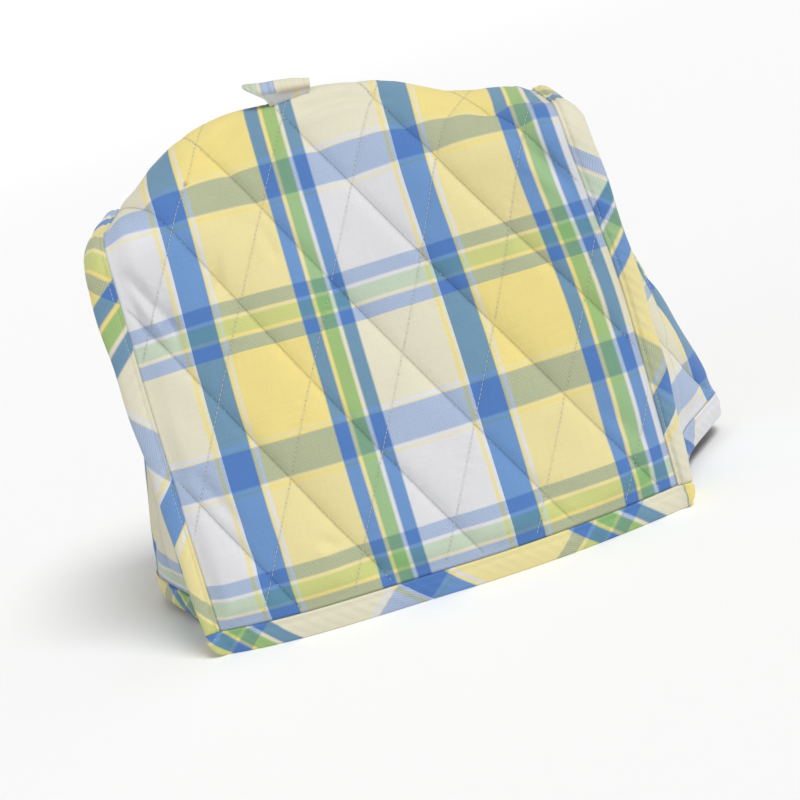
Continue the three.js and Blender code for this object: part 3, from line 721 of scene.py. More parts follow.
def plaid_material(name, cloth):
    """Twill plaid: two sets of striped yarns that let each other through, with slubs, ribs and sheen."""
    material = bpy.data.materials.new(name)
    tree, shader = nodes_of(material)
    yarns = {yarn: getattr(cloth, yarn) for yarn in ("white", "yellow", "blue", "green")}
    crosswise = {**yarns, "blue": cloth.blue_across}
    place, parts = attribute_parts(tree, "cloth")
    warp = stripe_ramp(tree, parts["X"], WARP_REPEAT, WARP_STRIPES, yarns)
    weft = stripe_ramp(tree, parts["Y"], WEFT_REPEAT, WEFT_STRIPES, crosswise)

    # Ribs of the twill, slightly wavering
    waver = yarn_noise(tree, place, (0.08, 0.08, 0.08))
    diagonal = math_node(tree, "MULTIPLY", parts["X"], TWILL_ACROSS)
    diagonal = math_node(tree, "MULTIPLY_ADD", parts["Y"], TWILL_ALONG, diagonal)
    diagonal = math_node(tree, "MULTIPLY_ADD", waver, TWILL_WAVER, diagonal)
    rib = math_node(tree, "SINE", math_node(tree, "MULTIPLY", diagonal, 2 * math.pi / cloth.twill_pitch))

    # The yarns' colours, each by its share of the face
    grain = yarn_noise(tree, place, (1.3, 1.3, 1.3), 3.0)
    share = math_node(tree, "MULTIPLY_ADD", rib, RIB_SHARE, cloth.warp_share - GRAIN_SHARE / 2)
    share = math_node(tree, "MULTIPLY_ADD", grain, GRAIN_SHARE, share)
    layers = []
    for stripes, part in ((warp, share), (weft, math_node(tree, "SUBTRACT", 1.0, share))):
        power = tree.nodes.new("ShaderNodeGamma")
        put(tree, stripes, power.inputs["Color"])
        put(tree, part, power.inputs["Gamma"])
        layers.append(power.outputs["Color"])
    both = mixed(tree, "MULTIPLY", 1.0, *layers)

    # Slubs along both sets of yarns, faded patches, painted shade in the bottoms of the seams, and a brown
    # mix that is a real stain on the main cloth and painted shade on the strap loop
    slubs = [yarn_noise(tree, place, scale) for scale in ((1.5, 0.05, 0.05), (0.05, 1.5, 0.05))]
    slub = math_node(tree, "ADD", *slubs)
    patch = yarn_noise(tree, place, (0.02, 0.02, 0.02))
    seam = math_node(tree, "MULTIPLY", seam_lines(tree), math_node(tree, "ADD", grain, 0.5))
    light = math_node(tree, "MULTIPLY_ADD", slub, SLUB_LIGHT, 1 - SLUB_LIGHT)
    light = math_node(tree, "SUBTRACT", light, PATCH_LIGHT / 2)
    light = math_node(tree, "MULTIPLY_ADD", patch, PATCH_LIGHT, light)
    light = math_node(tree, "MULTIPLY_ADD", rib, RIB_LIGHT, light)
    # Painted shade in the bottoms of the quilting's seams
    light = math_node(tree, "MULTIPLY_ADD", seam, -SEAM_SHADE, light)
    # Brown mixed in by the third part of the cloth places: a real stain on the main cloth, painted shade on
    # the strap loop
    stain_and_shade = mixed(tree, "MIX", parts["Z"], toned(tree, both, light), (*linear(150, 118, 72), 1))
    put(tree, stain_and_shade, shader.inputs["Base Color"])

    height = math_node(tree, "MULTIPLY_ADD", rib, 0.14, math_node(tree, "MULTIPLY", grain, 0.9))
    height = math_node(tree, "MULTIPLY_ADD", slub, 0.5, height)
    groove = relief(tree, math_node(tree, "MULTIPLY", seam, -1.0), 0.8, 0.5)
    put(tree, relief(tree, height, 0.35, 0.25, groove), shader.inputs["Normal"])
    shader.inputs["Roughness"].default_value = 0.88
    shader.inputs["Specular IOR Level"].default_value = 0.25
    shader.inputs["Sheen Weight"].default_value = 0.18
    shader.inputs["Sheen Roughness"].default_value = 0.5
    return material


def thread_material(name, shade):
    """Spun sewing thread: fine turns of its plies in colour and relief."""
    material = bpy.data.materials.new(name)
    tree, shader = nodes_of(material)
    places = tree.nodes.new("ShaderNodeTexCoord").outputs["Object"]
    plies = yarn_noise(tree, places, (1800, 1800, 1800), 1.0)
    light = math_node(tree, "MULTIPLY_ADD", plies, 0.3, 0.85)
    put(tree, toned(tree, shade, light), shader.inputs["Base Color"])
    put(tree, relief(tree, plies, 0.3, 0.1), shader.inputs["Normal"])
    shader.inputs["Roughness"].default_value = 0.6
    shader.inputs["Sheen Weight"].default_value = 0.1
    return material


def material_named(name, make, *values):
    return bpy.data.materials.get(name) or make(name, *values)


def finish_piece(piece, slot_name, material, *replaced):
    piece.data.materials.clear()
    piece.data.materials.append(material)
    if replaced:
        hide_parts(*replaced)
    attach(piece, "root")


def finish_cloth(piece, slot_name, cloth, replaced):
    finish_piece(piece, slot_name, material_named("plaid twill", plaid_material, cloth), replaced)


# The cloth pieces

class COVER_OT_main_cloth(bpy.types.Operator):
    """Sew the main cloth: one quilted strip up the front, over the ridge and down the back"""
    bl_idname = "cover.main_cloth"
    bl_label = "Main cloth"

    def execute(self, context):
        cloth = context.scene.cover_cloth
        across = np.linspace(-HALF_WIDTH, HALF_WIDTH, cells_for(2 * HALF_WIDTH, cloth.cell) + 1)
        x, s = np.meshgrid(across, np.linspace(0, STRIP_LENGTH, cells_for(STRIP_LENGTH, cloth.cell) + 1))
        outer, inner = main_faces(cloth)(x, s)
        spot = np.hypot(x - STAIN_PLACE[0], s - STAIN_PLACE[1])
        soil = 0.75 * (1 - smooth(spot, 0.3 * STAIN_RADIUS, STAIN_RADIUS))
        weft = s + MAIN_WEFT_START - HEM_EASE * (1 - smooth(s, 30, 80))
        places = np.stack([x + MAIN_WARP_START, weft, soil], axis=-1)
        edge = np.minimum(HALF_WIDTH - np.abs(x), np.minimum(s, STRIP_LENGTH - s))
        seams = quilt_places(x - QUILT_ACROSS, s - QUILT_ALONG, smooth(edge, 1, 5))
        piece = sheet_object("main_cloth", settle(outer), settle(inner), places, seams)
        finish_cloth(piece, "plaid_cloth", cloth, "main_panel")
        return {"FINISHED"}


# Where the end cloths lie in the plaid: at the outermost line of their fold, and at the hem
END_PLACES = {
    "left": {"warp": 314.0, "warp_turn": 1, "weft": 24.0 + WEFT_REPEAT, "weft_turn": -1},
    "right": {"warp": 323.0, "warp_turn": 1, "weft": 68.0, "weft_turn": 1},
}


class COVER_OT_end_cloths(bpy.types.Operator):
    """Sew the two end cloths, each splayed out at the hem in one soft fold"""
    bl_idname = "cover.end_cloths"
    bl_label = "End cloths"

    def execute(self, context):
        cloth = context.scene.cover_cloth
        height = SHOULDER_END * SEAM.total
        for side_name, start in END_PLACES.items():
            columns, count = (cells_for(length, cloth.cell) for length in (END_CLOTH_WIDTH, height))
            u, v = np.meshgrid(np.linspace(0, 1, columns + 1), np.linspace(0, 1, count + 1))
            outer, inner = end_faces(side_name, cloth)(u, v)
            steps = np.linalg.norm(np.diff(outer, axis=1), axis=-1)
            run = np.concatenate([np.zeros((count + 1, 1)), np.cumsum(steps, axis=1)], axis=1)
            fold_place = np.argmax(np.abs(outer[0, :, 0]))
            run -= run[:, fold_place:fold_place + 1]
            warp = start["warp"] + start["warp_turn"] * run
            weft = start["weft"] + start["weft_turn"] * v * height
            places = np.stack([warp, weft, 0 * v], axis=-1)
            rise = end_rise(end_patch(side_name))(v)
            edge = smooth(np.minimum(np.minimum(u, 1 - u), np.minimum(v, 1 - v)), 0.01, 0.03)
            seams = quilt_places(u * END_CLOTH_WIDTH, rise, edge)
            piece = sheet_object(f"end_cloth_{side_name}", settle(outer), settle(inner), places, seams)
            finish_cloth(piece, "plaid_cloth", cloth, f"end_panel_{side_name}")
        return {"FINISHED"}


# Distance of the bound seams' stitch line from the cloth, and length of a cell along the bindings
FLANGE_STITCH = 2.4
BINDING_CELL = 1.8


def flange_points(side_name, fraction, out, up):
    """Points of a bound seam: where along the seam, how far out as a share of its width, and how far up."""
    side = 1 if side_name == "right" else -1
    table = FLANGE[side_name]
    y, z, up_y, up_z = seam_frame(fraction)
    width = FLANGE_WIDTH * column(table, "along", "width", fraction)
    lean = np.radians(column(table, "along", "lean", fraction))
    run = fraction * SEAM.total
    reach = SEAM_GAP + out * width * (1 + 0.035 * np.sin(run / 9.1) + 0.03 * np.sin(run / 23 + 1))
    plump = 1 + 0.1 * np.sin(run / 17 + 0.6) + 0.07 * np.sin(run / 6.3)
    groove = 1 - 0.38 * np.exp(-((reach - FLANGE_STITCH) / 0.9) ** 2)
    wrinkle = 0.32 * np.sin(2 * np.pi * (run + 1.2 * reach * np.sign(up)) / 8.7 + 1.3 * np.sin(run / 27))
    wrinkle = wrinkle * np.sin(np.pi * np.clip(out, 0, 1)) * np.sign(up)
    rise = up * plump * groove + wrinkle + np.sin(lean) * reach ** 2 / FLANGE_WIDTH
    footing = smooth(np.minimum(fraction, 1 - fraction), 0, 0.012)
    return np.stack([side * (HALF_WIDTH + reach), y + up_y * rise, z + up_z * rise * footing], axis=-1)


class COVER_OT_seam_bindings(bpy.types.Operator):
    """Sew the bias bindings that stand out along the two end seams"""
    bl_idname = "cover.seam_bindings"
    bl_label = "Seam bindings"

    def execute(self, context):
        cloth = context.scene.cover_cloth
        section = catmull_rom(np.stack(list(FLANGE_SECTION.values()), axis=-1), 5, closed=True)
        round_section = run_lengths(section * (FLANGE_WIDTH, 1))
        fractions = np.linspace(0, 1, round(SEAM.total / BINDING_CELL) + 1)
        for side_name in ("left", "right"):
            side = 1 if side_name == "right" else -1
            f, out = np.meshgrid(fractions, section[:, 0], indexing="ij")
            up = np.broadcast_to(section[:, 1], f.shape)
            points = flange_points(side_name, f, out, up)
            down = (SHOULDER_END - f) * SEAM.total
            across = side * np.broadcast_to(round_section, f.shape)
            places = bias_places(down, across, BIAS_STARTS[side_name])
            piece = swept_object(f"seam_binding_cloth_{side_name}", settle(points), places, closed=False)
            finish_cloth(piece, "bias_binding", cloth, f"seam_binding_{side_name}")
        return {"FINISHED"}


def hem_stations():
    """The hem band's line round the cover: outer and inner place, lift and how far its corner rounds up."""
    stations = []

    def straight(front):
        x = -front * np.linspace(-HALF_WIDTH + 3, HALF_WIDTH - 3, 23)
        s = np.full_like(x, 0 if front < 0 else STRIP_LENGTH)
        y = main_middle(x, s)[:, 1]
        slope = (main_middle(x + 1, s) - main_middle(x - 1, s))[:, 1] / 2
        normal = np.stack([-slope, np.ones_like(slope)], axis=-1)
        normal *= front * HEM_BAND_HALF / np.linalg.norm(normal, axis=1, keepdims=True)
        for place, away in zip(np.stack([x, y], axis=-1), normal):
            stations.append([*(place + away), *(place - away), 0, 0])

    def ear(side, front, reverse):
        seam_y = abs(SEAM.at(np.array(0.0))[0])
        corner = list(zip(*EAR.values()))
        for out, sideways, inner_out, inner_side, cut in corner[::-1] if reverse else corner:
            stations.append([side * (HALF_WIDTH + out), front * (seam_y + sideways),
                             side * (HALF_WIDTH + inner_out), front * (seam_y + inner_side), 0, cut])

    def fold(side_name, reverse):
        side = 1 if side_name == "right" else -1
        at = hem_fold(side_name)
        u = np.linspace(0, 1, 21)[1:-1]
        u = u[::-1] if reverse else u
        out, y, lift = at(u)
        before, after = at(u - 0.02), at(u + 0.02)
        normal = np.stack([after[1] - before[1], before[0] - after[0]], axis=-1)
        normal *= HEM_BAND_HALF / np.linalg.norm(normal, axis=1, keepdims=True)
        x = HALF_WIDTH + out
        for k in range(len(u)):
            dx, dy = normal[k]
            stations.append([side * (x[k] + dx), y[k] + dy, side * (x[k] - dx), y[k] - dy, lift[k], 0])

    straight(-1)
    ear(1, -1, False)
    fold("right", False)
    ear(1, 1, True)
    straight(1)
    ear(-1, 1, False)
    fold("left", True)
    ear(-1, -1, True)
    return np.array(stations)


# Height of the hem's stitch line
HEM_STITCH = 11.8


class HemLine:
    """The hem band's stations, evenly spaced round the cover."""

    def __init__(self):
        fine = catmull_rom(hem_stations(), 6, closed=True)
        fine = np.vstack([fine, fine[:1]])
        lengths = run_lengths(fine[:, :2])
        self.total = lengths[-1]
        self.run = np.linspace(0, self.total, round(self.total / BINDING_CELL), endpoint=False)
        self.rows = np.stack([np.interp(self.run, lengths, column) for column in fine.T], axis=-1)

    def points(self, reach, z):
        """Points of the band: reach across its thickness, 0 inside to 1 outside, and height."""
        outer, inner = self.rows[:, None, :2], self.rows[:, None, 2:4]
        lift, cut = self.rows[:, None, 4], self.rows[:, None, 5]
        run = self.run[:, None]
        thick = np.linalg.norm(outer - inner, axis=-1)
        groove = 0.55 * np.exp(-((z - HEM_STITCH) / 1.1) ** 2) * np.where(reach > 0.5, 1, -1)
        wrinkle = 0.22 * np.sin(2 * np.pi * (run + 1.1 * z) / 9.3 + 1.2 * np.sin(run / 31))
        wrinkle = wrinkle * np.sin(np.pi * z / HEM_BAND) * np.where(reach > 0.5, 1, -1)
        swell = np.where(reach > 1, 1 + (reach - 1) * 2 * HEM_BAND_HALF / thick, reach)
        swell = swell + (wrinkle - groove) / thick * np.abs(2 * np.clip(reach, 0, 1) - 1)
        place = inner + (outer - inner) * swell[..., None]
        drop = 0.35 * np.sin(run / 13 + 0.5) * np.sin(np.pi * z / HEM_BAND)
        raised = cut * np.clip(swell, 0, 1) * (1 - z / HEM_BAND)
        return np.concatenate([place, (z + raised + lift + drop)[..., None]], axis=-1)


class COVER_OT_hem_binding(bpy.types.Operator):
    """Sew the bias binding round the whole bottom edge"""
    bl_idname = "cover.hem_binding"
    bl_label = "Hem binding"

    def execute(self, context):
        cloth = context.scene.cover_cloth
        section = catmull_rom(np.stack(list(HEM_SECTION.values()), axis=-1), 5, closed=True)
        section[:, 1] = np.clip(section[:, 1], 0, HEM_BAND)
        line = HemLine()
        reach = np.broadcast_to(section[:, 0], (len(line.run), len(section)))
        z = np.broadcast_to(section[:, 1], reach.shape)
        points = line.points(reach, z)
        run = np.broadcast_to(line.run[:, None], reach.shape)
        up = np.where(reach > 0.5, z, -z)
        places = hem_places(run, up, line.total)
        piece = swept_object("hem_binding_cloth", settle(points), places, closed=True)
        finish_cloth(piece, "bias_binding", cloth, "hem_binding")
        return {"FINISHED"}


def loop_edges(per_row=10):
    """The strap's two edges from its back end to its front one, standing on the ridge."""
    low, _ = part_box("top_loop")
    table = line_through(LOOP, "left_x", "left_y", "left_z", "right_x", "right_y", "right_z", per_row=per_row)
    crest = CROWN["y"][np.argmax(CROWN["z"])]
    ridge = np.array([-MIDDLE[0], crest - MIDDLE[1], low.z / MM])
    return table[:, :3] + ridge, table[:, 3:] + ridge


def loop_points(across, side, per_row=10):
    """Points of the strap: across from its left edge (0) to its right one (1), side over or under."""
    left, right = loop_edges(per_row)
    before, after = np.roll(left, 1, 0), np.roll(left, -1, 0)
    before[0], after[-1] = left[0], left[-1]
    normal = unit(np.cross(after - before, right - left))
    for k in (0, -1):
        normal[k, 2] = 0
        normal[k] = unit(normal[k])
    place = left[:, None] + (right - left)[:, None] * across[None, :, None]
    row = np.linspace(0, 1, len(left))[:, None]
    ruck = 0.4 * np.sin(across * 9 + row * 5) * np.sin(np.pi * row)
    return place + normal[:, None] * (side * STRAP_HALF + ruck)[..., None]


# Where along the strap its folded top ends and its front leg starts
LOOP_STEM = 0.76


class COVER_OT_loop(bpy.types.Operator):
    """Sew the strap loop on the ridge, squashed over to the left"""
    bl_idname = "cover.loop"
    bl_label = "Strap loop"

    def execute(self, context):
        cloth = context.scene.cover_cloth
        angle = np.linspace(0, 2 * np.pi, 44, endpoint=False)
        across = 0.5 - 0.5 * np.sign(np.cos(angle)) * np.abs(np.cos(angle)) ** 0.45
        seam_groove = 1 - 0.35 * np.exp(-((np.abs(across - 0.5) - 0.41) / 0.035) ** 2)
        side = np.sign(np.sin(angle)) * np.abs(np.sin(angle)) ** 0.45 * seam_groove
        points = loop_points(across, side)
        x = points[..., 0]
        row = np.broadcast_to(np.linspace(0, 1, len(points))[:, None], x.shape)
        stem = row > LOOP_STEM
        warp = np.where(stem, 147.7 + np.clip(x + 10, -20, 2.4), 125)
        weft = np.where(stem, 40, 18.5 + WEFT_REPEAT - (x + 40))
        # Painted shade, mixed in as brown: in the hollow under the folded top, and over the strap's whole
        # underside
        under = np.exp(-((row - LOOP_STEM) / 0.07) ** 2) * smooth(x, -28, -16)
        shade = np.maximum(0.45 * under, 0.25 * np.broadcast_to(side < 0, x.shape))
        piece = swept_object("top_loop_strap", points, np.stack([warp, weft, shade], axis=-1), closed=False)
        finish_cloth(piece, "strap_cloth", cloth, "top_loop")
        return {"FINISHED"}


# Sewing, laid by a node tree along lines on the cloth

def stitch_tree(name, material, holes=False):
    """A node tree laying arched stitches along a mesh's edges, or painted shade at the needle holes between
    them.
    """
    tree = bpy.data.node_groups.new(name, "GeometryNodeTree")
    tree.interface.new_socket("Geometry", in_out="INPUT", socket_type="NodeSocketGeometry")
    sockets = {}
    for label in ("Stitch", "Gap", "Radius", "Arch"):
        socket = tree.interface.new_socket(label, in_out="INPUT", socket_type="NodeSocketFloat")
        socket.subtype = "DISTANCE"
        sockets[label] = socket.identifier
    tree.interface.new_socket("Geometry", in_out="OUTPUT", socket_type="NodeSocketGeometry")
    new, link = tree.nodes.new, tree.links.new
    given = new("NodeGroupInput").outputs
    result = new("NodeGroupOutput")

    pitch = math_node(tree, "ADD", given["Stitch"], given["Gap"])
    curves = new("GeometryNodeMeshToCurve")
    link(given["Geometry"], curves.inputs["Mesh"])
    spaced = new("GeometryNodeResampleCurve")
    spaced.mode = "LENGTH"
    link(curves.outputs["Curve"], spaced.inputs["Curve"])
    link(pitch, spaced.inputs["Length"])

    half = math_node(tree, "MULTIPLY", pitch if holes else given["Stitch"], 0.5)
    points = []
    for label, value in (("X", math_node(tree, "MULTIPLY", half, -1.0)), ("Z", given["Arch"]), ("X", half)):
        point = new("ShaderNodeCombineXYZ")
        link(value, point.inputs[label])
        points.append(point.outputs[0])
    # Flat dark discs of painted shade at the needle holes
    if holes:
        disc = new("GeometryNodeMeshCircle")
        disc.fill_type = "NGON"
        disc.inputs["Vertices"].default_value = 8
        link(given["Radius"], disc.inputs["Radius"])
        place = new("ShaderNodeVectorMath")
        place.operation = "ADD"
        link(points[2], place.inputs[0])
        link(points[1], place.inputs[1])
        shape = new("GeometryNodeTransform")
        link(disc.outputs["Mesh"], shape.inputs["Geometry"])
        link(place.outputs[0], shape.inputs["Translation"])
    else:
        arch = new("GeometryNodeCurveQuadraticBezier")
        arch.inputs["Resolution"].default_value = 4
        for label, point in zip(("Start", "Middle", "End"), points):
            link(point, arch.inputs[label])
        ring = new("GeometryNodeCurvePrimitiveCircle")
        ring.inputs["Resolution"].default_value = 6
        link(given["Radius"], ring.inputs["Radius"])
        shape = new("GeometryNodeCurveToMesh")
        shape.inputs["Fill Caps"].default_value = True
        link(arch.outputs["Curve"], shape.inputs["Curve"])
        link(ring.outputs["Curve"], shape.inputs["Profile Curve"])

    tangent = new("GeometryNodeInputTangent")
    lift = new("GeometryNodeInputNamedAttribute")
    lift.data_type = "FLOAT_VECTOR"
    lift.inputs["Name"].default_value = "lift"
    turn = new("FunctionNodeAxesToRotation")
    turn.primary_axis = "X"
    turn.secondary_axis = "Z"
    link(tangent.outputs["Tangent"], turn.inputs["Primary Axis"])
    link(lift.outputs["Attribute"], turn.inputs["Secondary Axis"])
    laid = new("GeometryNodeInstanceOnPoints")
    link(spaced.outputs["Curve"], laid.inputs["Points"])
    link(shape.outputs[0], laid.inputs["Instance"])
    link(turn.outputs["Rotation"], laid.inputs["Rotation"])
    real = new("GeometryNodeRealizeInstances")
    link(laid.outputs["Instances"], real.inputs["Geometry"])
    coloured = new("GeometryNodeSetMaterial")
    coloured.inputs["Material"].default_value = material
    link(real.outputs["Geometry"], coloured.inputs["Geometry"])
    link(coloured.outputs["Geometry"], result.inputs["Geometry"])
    return tree, sockets


# How high a needle hole's shade lies over the stitch line
HOLE_LIFT = 0.12


def sew(name, runs, sewing, material, slot_name, holes=False):
    """Lays stitches, or the painted shade of their needle holes, along runs of points and outward directions,
    as one mesh.
    """
    points = np.vstack([run for run, _ in runs])
    lifts = np.vstack([lift for _, lift in runs])
    edges = []
    first = 0
    for run, _ in runs:
        edges += [(k, k + 1) for k in range(first, first + len(run) - 1)]
        first += len(run)
    mesh = bpy.data.meshes.new(f"{name}_lines")
    mesh.from_pydata((points * MM).tolist(), edges, [])
    attribute = mesh.attributes.new("lift", "FLOAT_VECTOR", "POINT")
    attribute.data.foreach_set("vector", lifts.ravel())
    guide = bpy.data.objects.new(f"{name}_lines", mesh)
    bpy.context.scene.collection.objects.link(guide)
    tree, sockets = stitch_tree(f"{name} tree", material, holes)
    modifier = guide.modifiers.new("stitches", "NODES")
    modifier.node_group = tree
    sizes = {"Stitch": sewing.length, "Gap": sewing.gap, "Radius": sewing.radius, "Arch": sewing.arch}
    if holes:
        sizes.update(Radius=sewing.hole, Arch=HOLE_LIFT)
    for label, size in sizes.items():
        modifier[sockets[label]] = size * MM
    evaluated = guide.evaluated_get(bpy.context.evaluated_depsgraph_get())
    sewn = bpy.data.meshes.new_from_object(evaluated)
    sewn.name = name
    guide.modifiers.remove(modifier)
    bpy.data.objects.remove(guide)
    piece = bpy.data.objects.new(name, sewn)
    bpy.context.scene.collection.objects.link(piece)
    finish_piece(piece, slot_name, material)
    return piece


def quilt_lines(width, length, margin=3.0, step=2.0):
    """Both families of stitch lines over a cloth, as places measured from a crossing of its quilting."""
    diagonal = math.hypot(QUILT_PITCH, QUILT_HEIGHT)
    direction = np.array([QUILT_PITCH, QUILT_HEIGHT]) / diagonal
    low, high = np.array(width), np.array(length)
    for turn in (1, -1):
        corners = [a / QUILT_PITCH + turn * b / QUILT_HEIGHT for a in low for b in high]
        for number in range(math.ceil(min(corners)), math.floor(max(corners)) + 1):
            along = np.arange(-900, 900, step)
            across = number * QUILT_PITCH + along * direction[0]
            rise = -turn * along * direction[1]
            inside = (across > low[0] + margin) & (across < low[1] - margin)
            inside &= (rise > high[0] + margin) & (rise < high[1] - margin)
            if inside.sum() > 2:
                yield across[inside], rise[inside]


def lifted(surface, a, b, step_a, step_b, sink, side=1):
    """Points on a settled surface, a little sunk in, and the directions away from it."""
    def settled(p, q):
        return settle(surface(p, q))
    normal = side * normals(settled, a, b, step_a, step_b)
    return settled(a, b) - normal * sink, normal


class COVER_OT_quilting(bpy.types.Operator):
    """Sew the quilting's stitches on the main cloth and the end cloths"""
    bl_idname = "cover.quilting"
    bl_label = "Quilting"

    def execute(self, context):
        cloth, sewing = context.scene.cover_cloth, context.scene.cover_sewing
        thread = material_named("quilting thread", thread_material, sewing.quilting)
        sink = sewing.radius * 0.3
        layers = main_faces(cloth)
        runs = []
        for across, rise in quilt_lines((-HALF_WIDTH - QUILT_ACROSS, HALF_WIDTH - QUILT_ACROSS),
                                        (-QUILT_ALONG, STRIP_LENGTH - QUILT_ALONG)):
            x, s = across + QUILT_ACROSS, rise + QUILT_ALONG
            runs.append(lifted(lambda p, q: layers(p, q)[0], x, s, 1.0, 1.0, sink))
        # Dark discs of painted shade in the needle holes' dimples along the stitch lines
        shade = material_named("needle hole", thread_material, sewing.holes)
        sew("quilting_main", runs, sewing, thread, "plaid_cloth")
        sew("needle_holes_main", runs, sewing, shade, "plaid_cloth", holes=True)
        for side_name in ("left", "right"):
            side = 1 if side_name == "right" else -1
            layers_end = end_faces(side_name, cloth)
            steps = np.linspace(0, 1, 60)
            heights = end_rise(end_patch(side_name))(steps)
            runs = []
            for across, rise in quilt_lines((0, END_CLOTH_WIDTH), (0, heights[-1])):
                u, v = across / END_CLOTH_WIDTH, np.interp(rise, heights, steps)
                runs.append(lifted(lambda p, q: layers_end(p, q)[0], u, v, 0.004, 0.004, sink, side))
            sew(f"quilting_end_{side_name}", runs, sewing, thread, "plaid_cloth")
            sew(f"needle_holes_{side_name}", runs, sewing, shade, "plaid_cloth", holes=True)
        return {"FINISHED"}


# Heights of a bound seam's two faces at its stitch line, and places of the strap's seams across it
FLANGE_FACES = (2.35, -2.1)
LOOP_SEAMS = (0.09, 0.91)


class COVER_OT_edge_stitches(bpy.types.Operator):
    """Sew the stitches along the bindings and the strap"""
    bl_idname = "cover.edge_stitches"
    bl_label = "Edge stitches"

    def execute(self, context):
        sewing = context.scene.cover_sewing
        thread = material_named("edge thread", thread_material, sewing.edges)
        sink = sewing.radius * 0.2
        f = np.linspace(0.004, 0.996, 300)
        share = np.full_like(f, (FLANGE_STITCH - SEAM_GAP) / FLANGE_WIDTH)
        for side_name in ("left", "right"):
            runs = []
            for height in FLANGE_FACES:
                centre, point = (settle(flange_points(side_name, f, share, np.full_like(f, up)))
                                 for up in (0.0, height))
                lift = unit(point - centre)
                runs.append((point - lift * sink, lift))
            sew(f"binding_stitches_{side_name}", runs, sewing, thread, "bias_binding")
        line = HemLine()
        runs = []
        for reach in (1.0, 0.0):
            point, centre = (settle(line.points(np.full((1, 1), place), np.full((1, 1), HEM_STITCH)))[:, 0]
                             for place in (reach, 0.5))
            lift = unit(point - centre)
            runs.append((point - lift * sink, lift))
        sew("hem_stitches", runs, sewing, thread, "bias_binding")
        runs = []
        for across in LOOP_SEAMS:
            over, under = (loop_points(np.array([across]), np.array([side]))[:, 0] for side in (0.62, 0.0))
            runs.append((over[2:-2], unit(over - under)[2:-2]))
        sew("loop_stitches", runs, sewing, thread, "strap_cloth")
        return {"FINISHED"}


# Stage

CAMERA_PLACE = (23.5, -1077.3, 388.3)
CAMERA_YAW = -1.54
CAMERA_PITCH = 15.27
CAMERA_ROLL = -17.21
SENSOR = 36.0
FOCAL_PIXELS = 1767.8
PICTURE = 800
# Directions that the lights come from
KEY_FROM = (0.4, -0.45, 1.0)
FILL_FROM = (-0.7, -0.7, 0.5)
# The floor, in metres: flat as far as its reach, then curving up
FLOOR_REACH = 4.5
FLOOR_BEND = 1.6


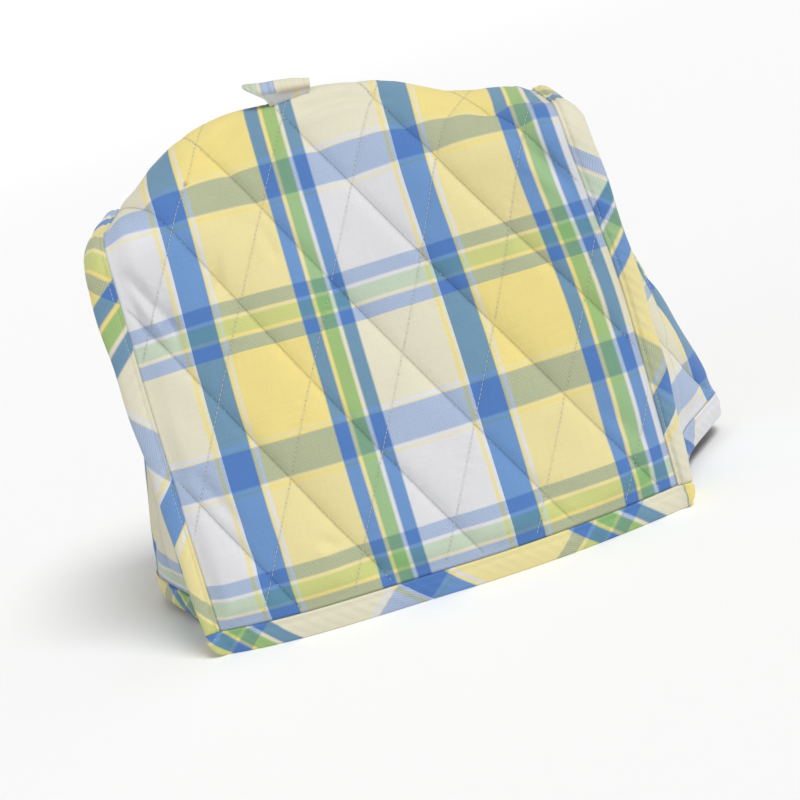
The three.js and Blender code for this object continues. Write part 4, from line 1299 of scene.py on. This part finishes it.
class COVER_OT_stage(bpy.types.Operator):
    """Set the camera, the soft lights and the pale floor"""
    bl_idname = "cover.stage"
    bl_label = "Stage"

    def execute(self, context):
        stage = context.scene.cover_stage
        camera = bpy.data.objects.new("camera", bpy.data.cameras.new("camera"))
        context.scene.collection.objects.link(camera)
        camera.data.sensor_width = SENSOR
        camera.data.lens = SENSOR * FOCAL_PIXELS / PICTURE
        camera.data.clip_end = 60
        yaw, pitch, roll = (math.radians(angle) for angle in (CAMERA_YAW, CAMERA_PITCH, CAMERA_ROLL))
        forward = Vector((math.sin(yaw) * math.cos(pitch), math.cos(yaw) * math.cos(pitch), -math.sin(pitch)))
        level = Vector((math.cos(yaw), -math.sin(yaw), 0))
        upright = level.cross(forward)
        right = level * math.cos(roll) + upright * math.sin(roll)
        up = upright * math.cos(roll) - level * math.sin(roll)
        turned = Matrix((right, up, -forward)).transposed().to_4x4()
        camera.matrix_world = Matrix.Translation(Vector(CAMERA_PLACE) * MM) @ turned
        context.scene.camera = camera

        for name, source, strength in (("key", KEY_FROM, stage.key), ("fill", FILL_FROM, stage.fill)):
            light = bpy.data.lights.new(name, "SUN")
            light.energy = strength
            light.angle = stage.softness
            lamp = bpy.data.objects.new(name, light)
            lamp.rotation_euler = (-Vector(source)).to_track_quat("-Z", "Y").to_euler()
            context.scene.collection.objects.link(lamp)
        world = bpy.data.worlds.new("surroundings")
        world.use_nodes = True
        back = world.node_tree.nodes["Background"]
        back.inputs["Color"].default_value = (1, 1, 1, 1)
        back.inputs["Strength"].default_value = stage.sky
        context.scene.world = world
        context.scene.view_settings.view_transform = "Standard"

        bend = np.linspace(0, np.pi / 2, 13)
        reach = np.concatenate([[FLOOR_REACH / 2], FLOOR_REACH + FLOOR_BEND * np.sin(bend)])
        height = np.concatenate([[0], FLOOR_BEND * (1 - np.cos(bend))])
        turn = np.linspace(0, 2 * np.pi, 96, endpoint=False)[None, :, None]
        rings = np.concatenate([reach[:, None, None] * np.cos(turn), reach[:, None, None] * np.sin(turn),
                                height[:, None, None] + 0 * turn], axis=-1)
        index = np.arange(rings.shape[0] * rings.shape[1]).reshape(rings.shape[:2])
        around = np.concatenate([index, index[:, :1]], axis=1)
        mesh = bpy.data.meshes.new("floor")
        faces = [index[0].tolist(), *(face[::-1] for face in grid_faces(around))]
        mesh.from_pydata(rings.reshape(-1, 3).tolist(), [], faces)
        mesh.polygons.foreach_set("use_smooth", [True] * len(mesh.polygons))
        floor = bpy.data.objects.new("floor", mesh)
        context.scene.collection.objects.link(floor)
        material = bpy.data.materials.new("floor")
        tree, shader = nodes_of(material)
        shader.inputs["Base Color"].default_value = (*stage.floor, 1)
        shader.inputs["Roughness"].default_value = 0.95
        shader.inputs["Specular IOR Level"].default_value = 0.0
        mesh.materials.append(material)
        return {"FINISHED"}


class COVER_PT_panel(bpy.types.Panel):
    """Lists the cover's sizes, colours and sewing steps"""
    bl_idname = "COVER_PT_panel"
    bl_label = "Quilted cover"
    bl_space_type = "VIEW_3D"
    bl_region_type = "UI"
    bl_category = "Cover"

    def draw(self, context):
        for group in (context.scene.cover_cloth, context.scene.cover_sewing, context.scene.cover_stage):
            box = self.layout.box()
            for name in group.bl_rna.properties.keys():
                if name not in ("name", "rna_type"):
                    box.prop(group, name)
        for operator in OPERATORS:
            self.layout.operator(operator.bl_idname)


OPERATORS = (COVER_OT_main_cloth, COVER_OT_end_cloths, COVER_OT_seam_bindings, COVER_OT_hem_binding,
             COVER_OT_loop, COVER_OT_quilting, COVER_OT_edge_stitches, COVER_OT_stage)
GROUPS = {"cover_cloth": CoverCloth, "cover_sewing": CoverSewing, "cover_stage": CoverStage}


def register():
    for cls in (*GROUPS.values(), *OPERATORS, COVER_PT_panel):
        bpy.utils.register_class(cls)
    for name, group in GROUPS.items():
        setattr(bpy.types.Scene, name, PointerProperty(type=group))


def unregister():
    for name in GROUPS:
        delattr(bpy.types.Scene, name)
    for cls in reversed((*GROUPS.values(), *OPERATORS, COVER_PT_panel)):
        bpy.utils.unregister_class(cls)


def main():
    register()
    for operator in OPERATORS:
        group, name = operator.bl_idname.split(".")
        getattr(getattr(bpy.ops, group), name)()


if __name__ == "__main__":
    main()
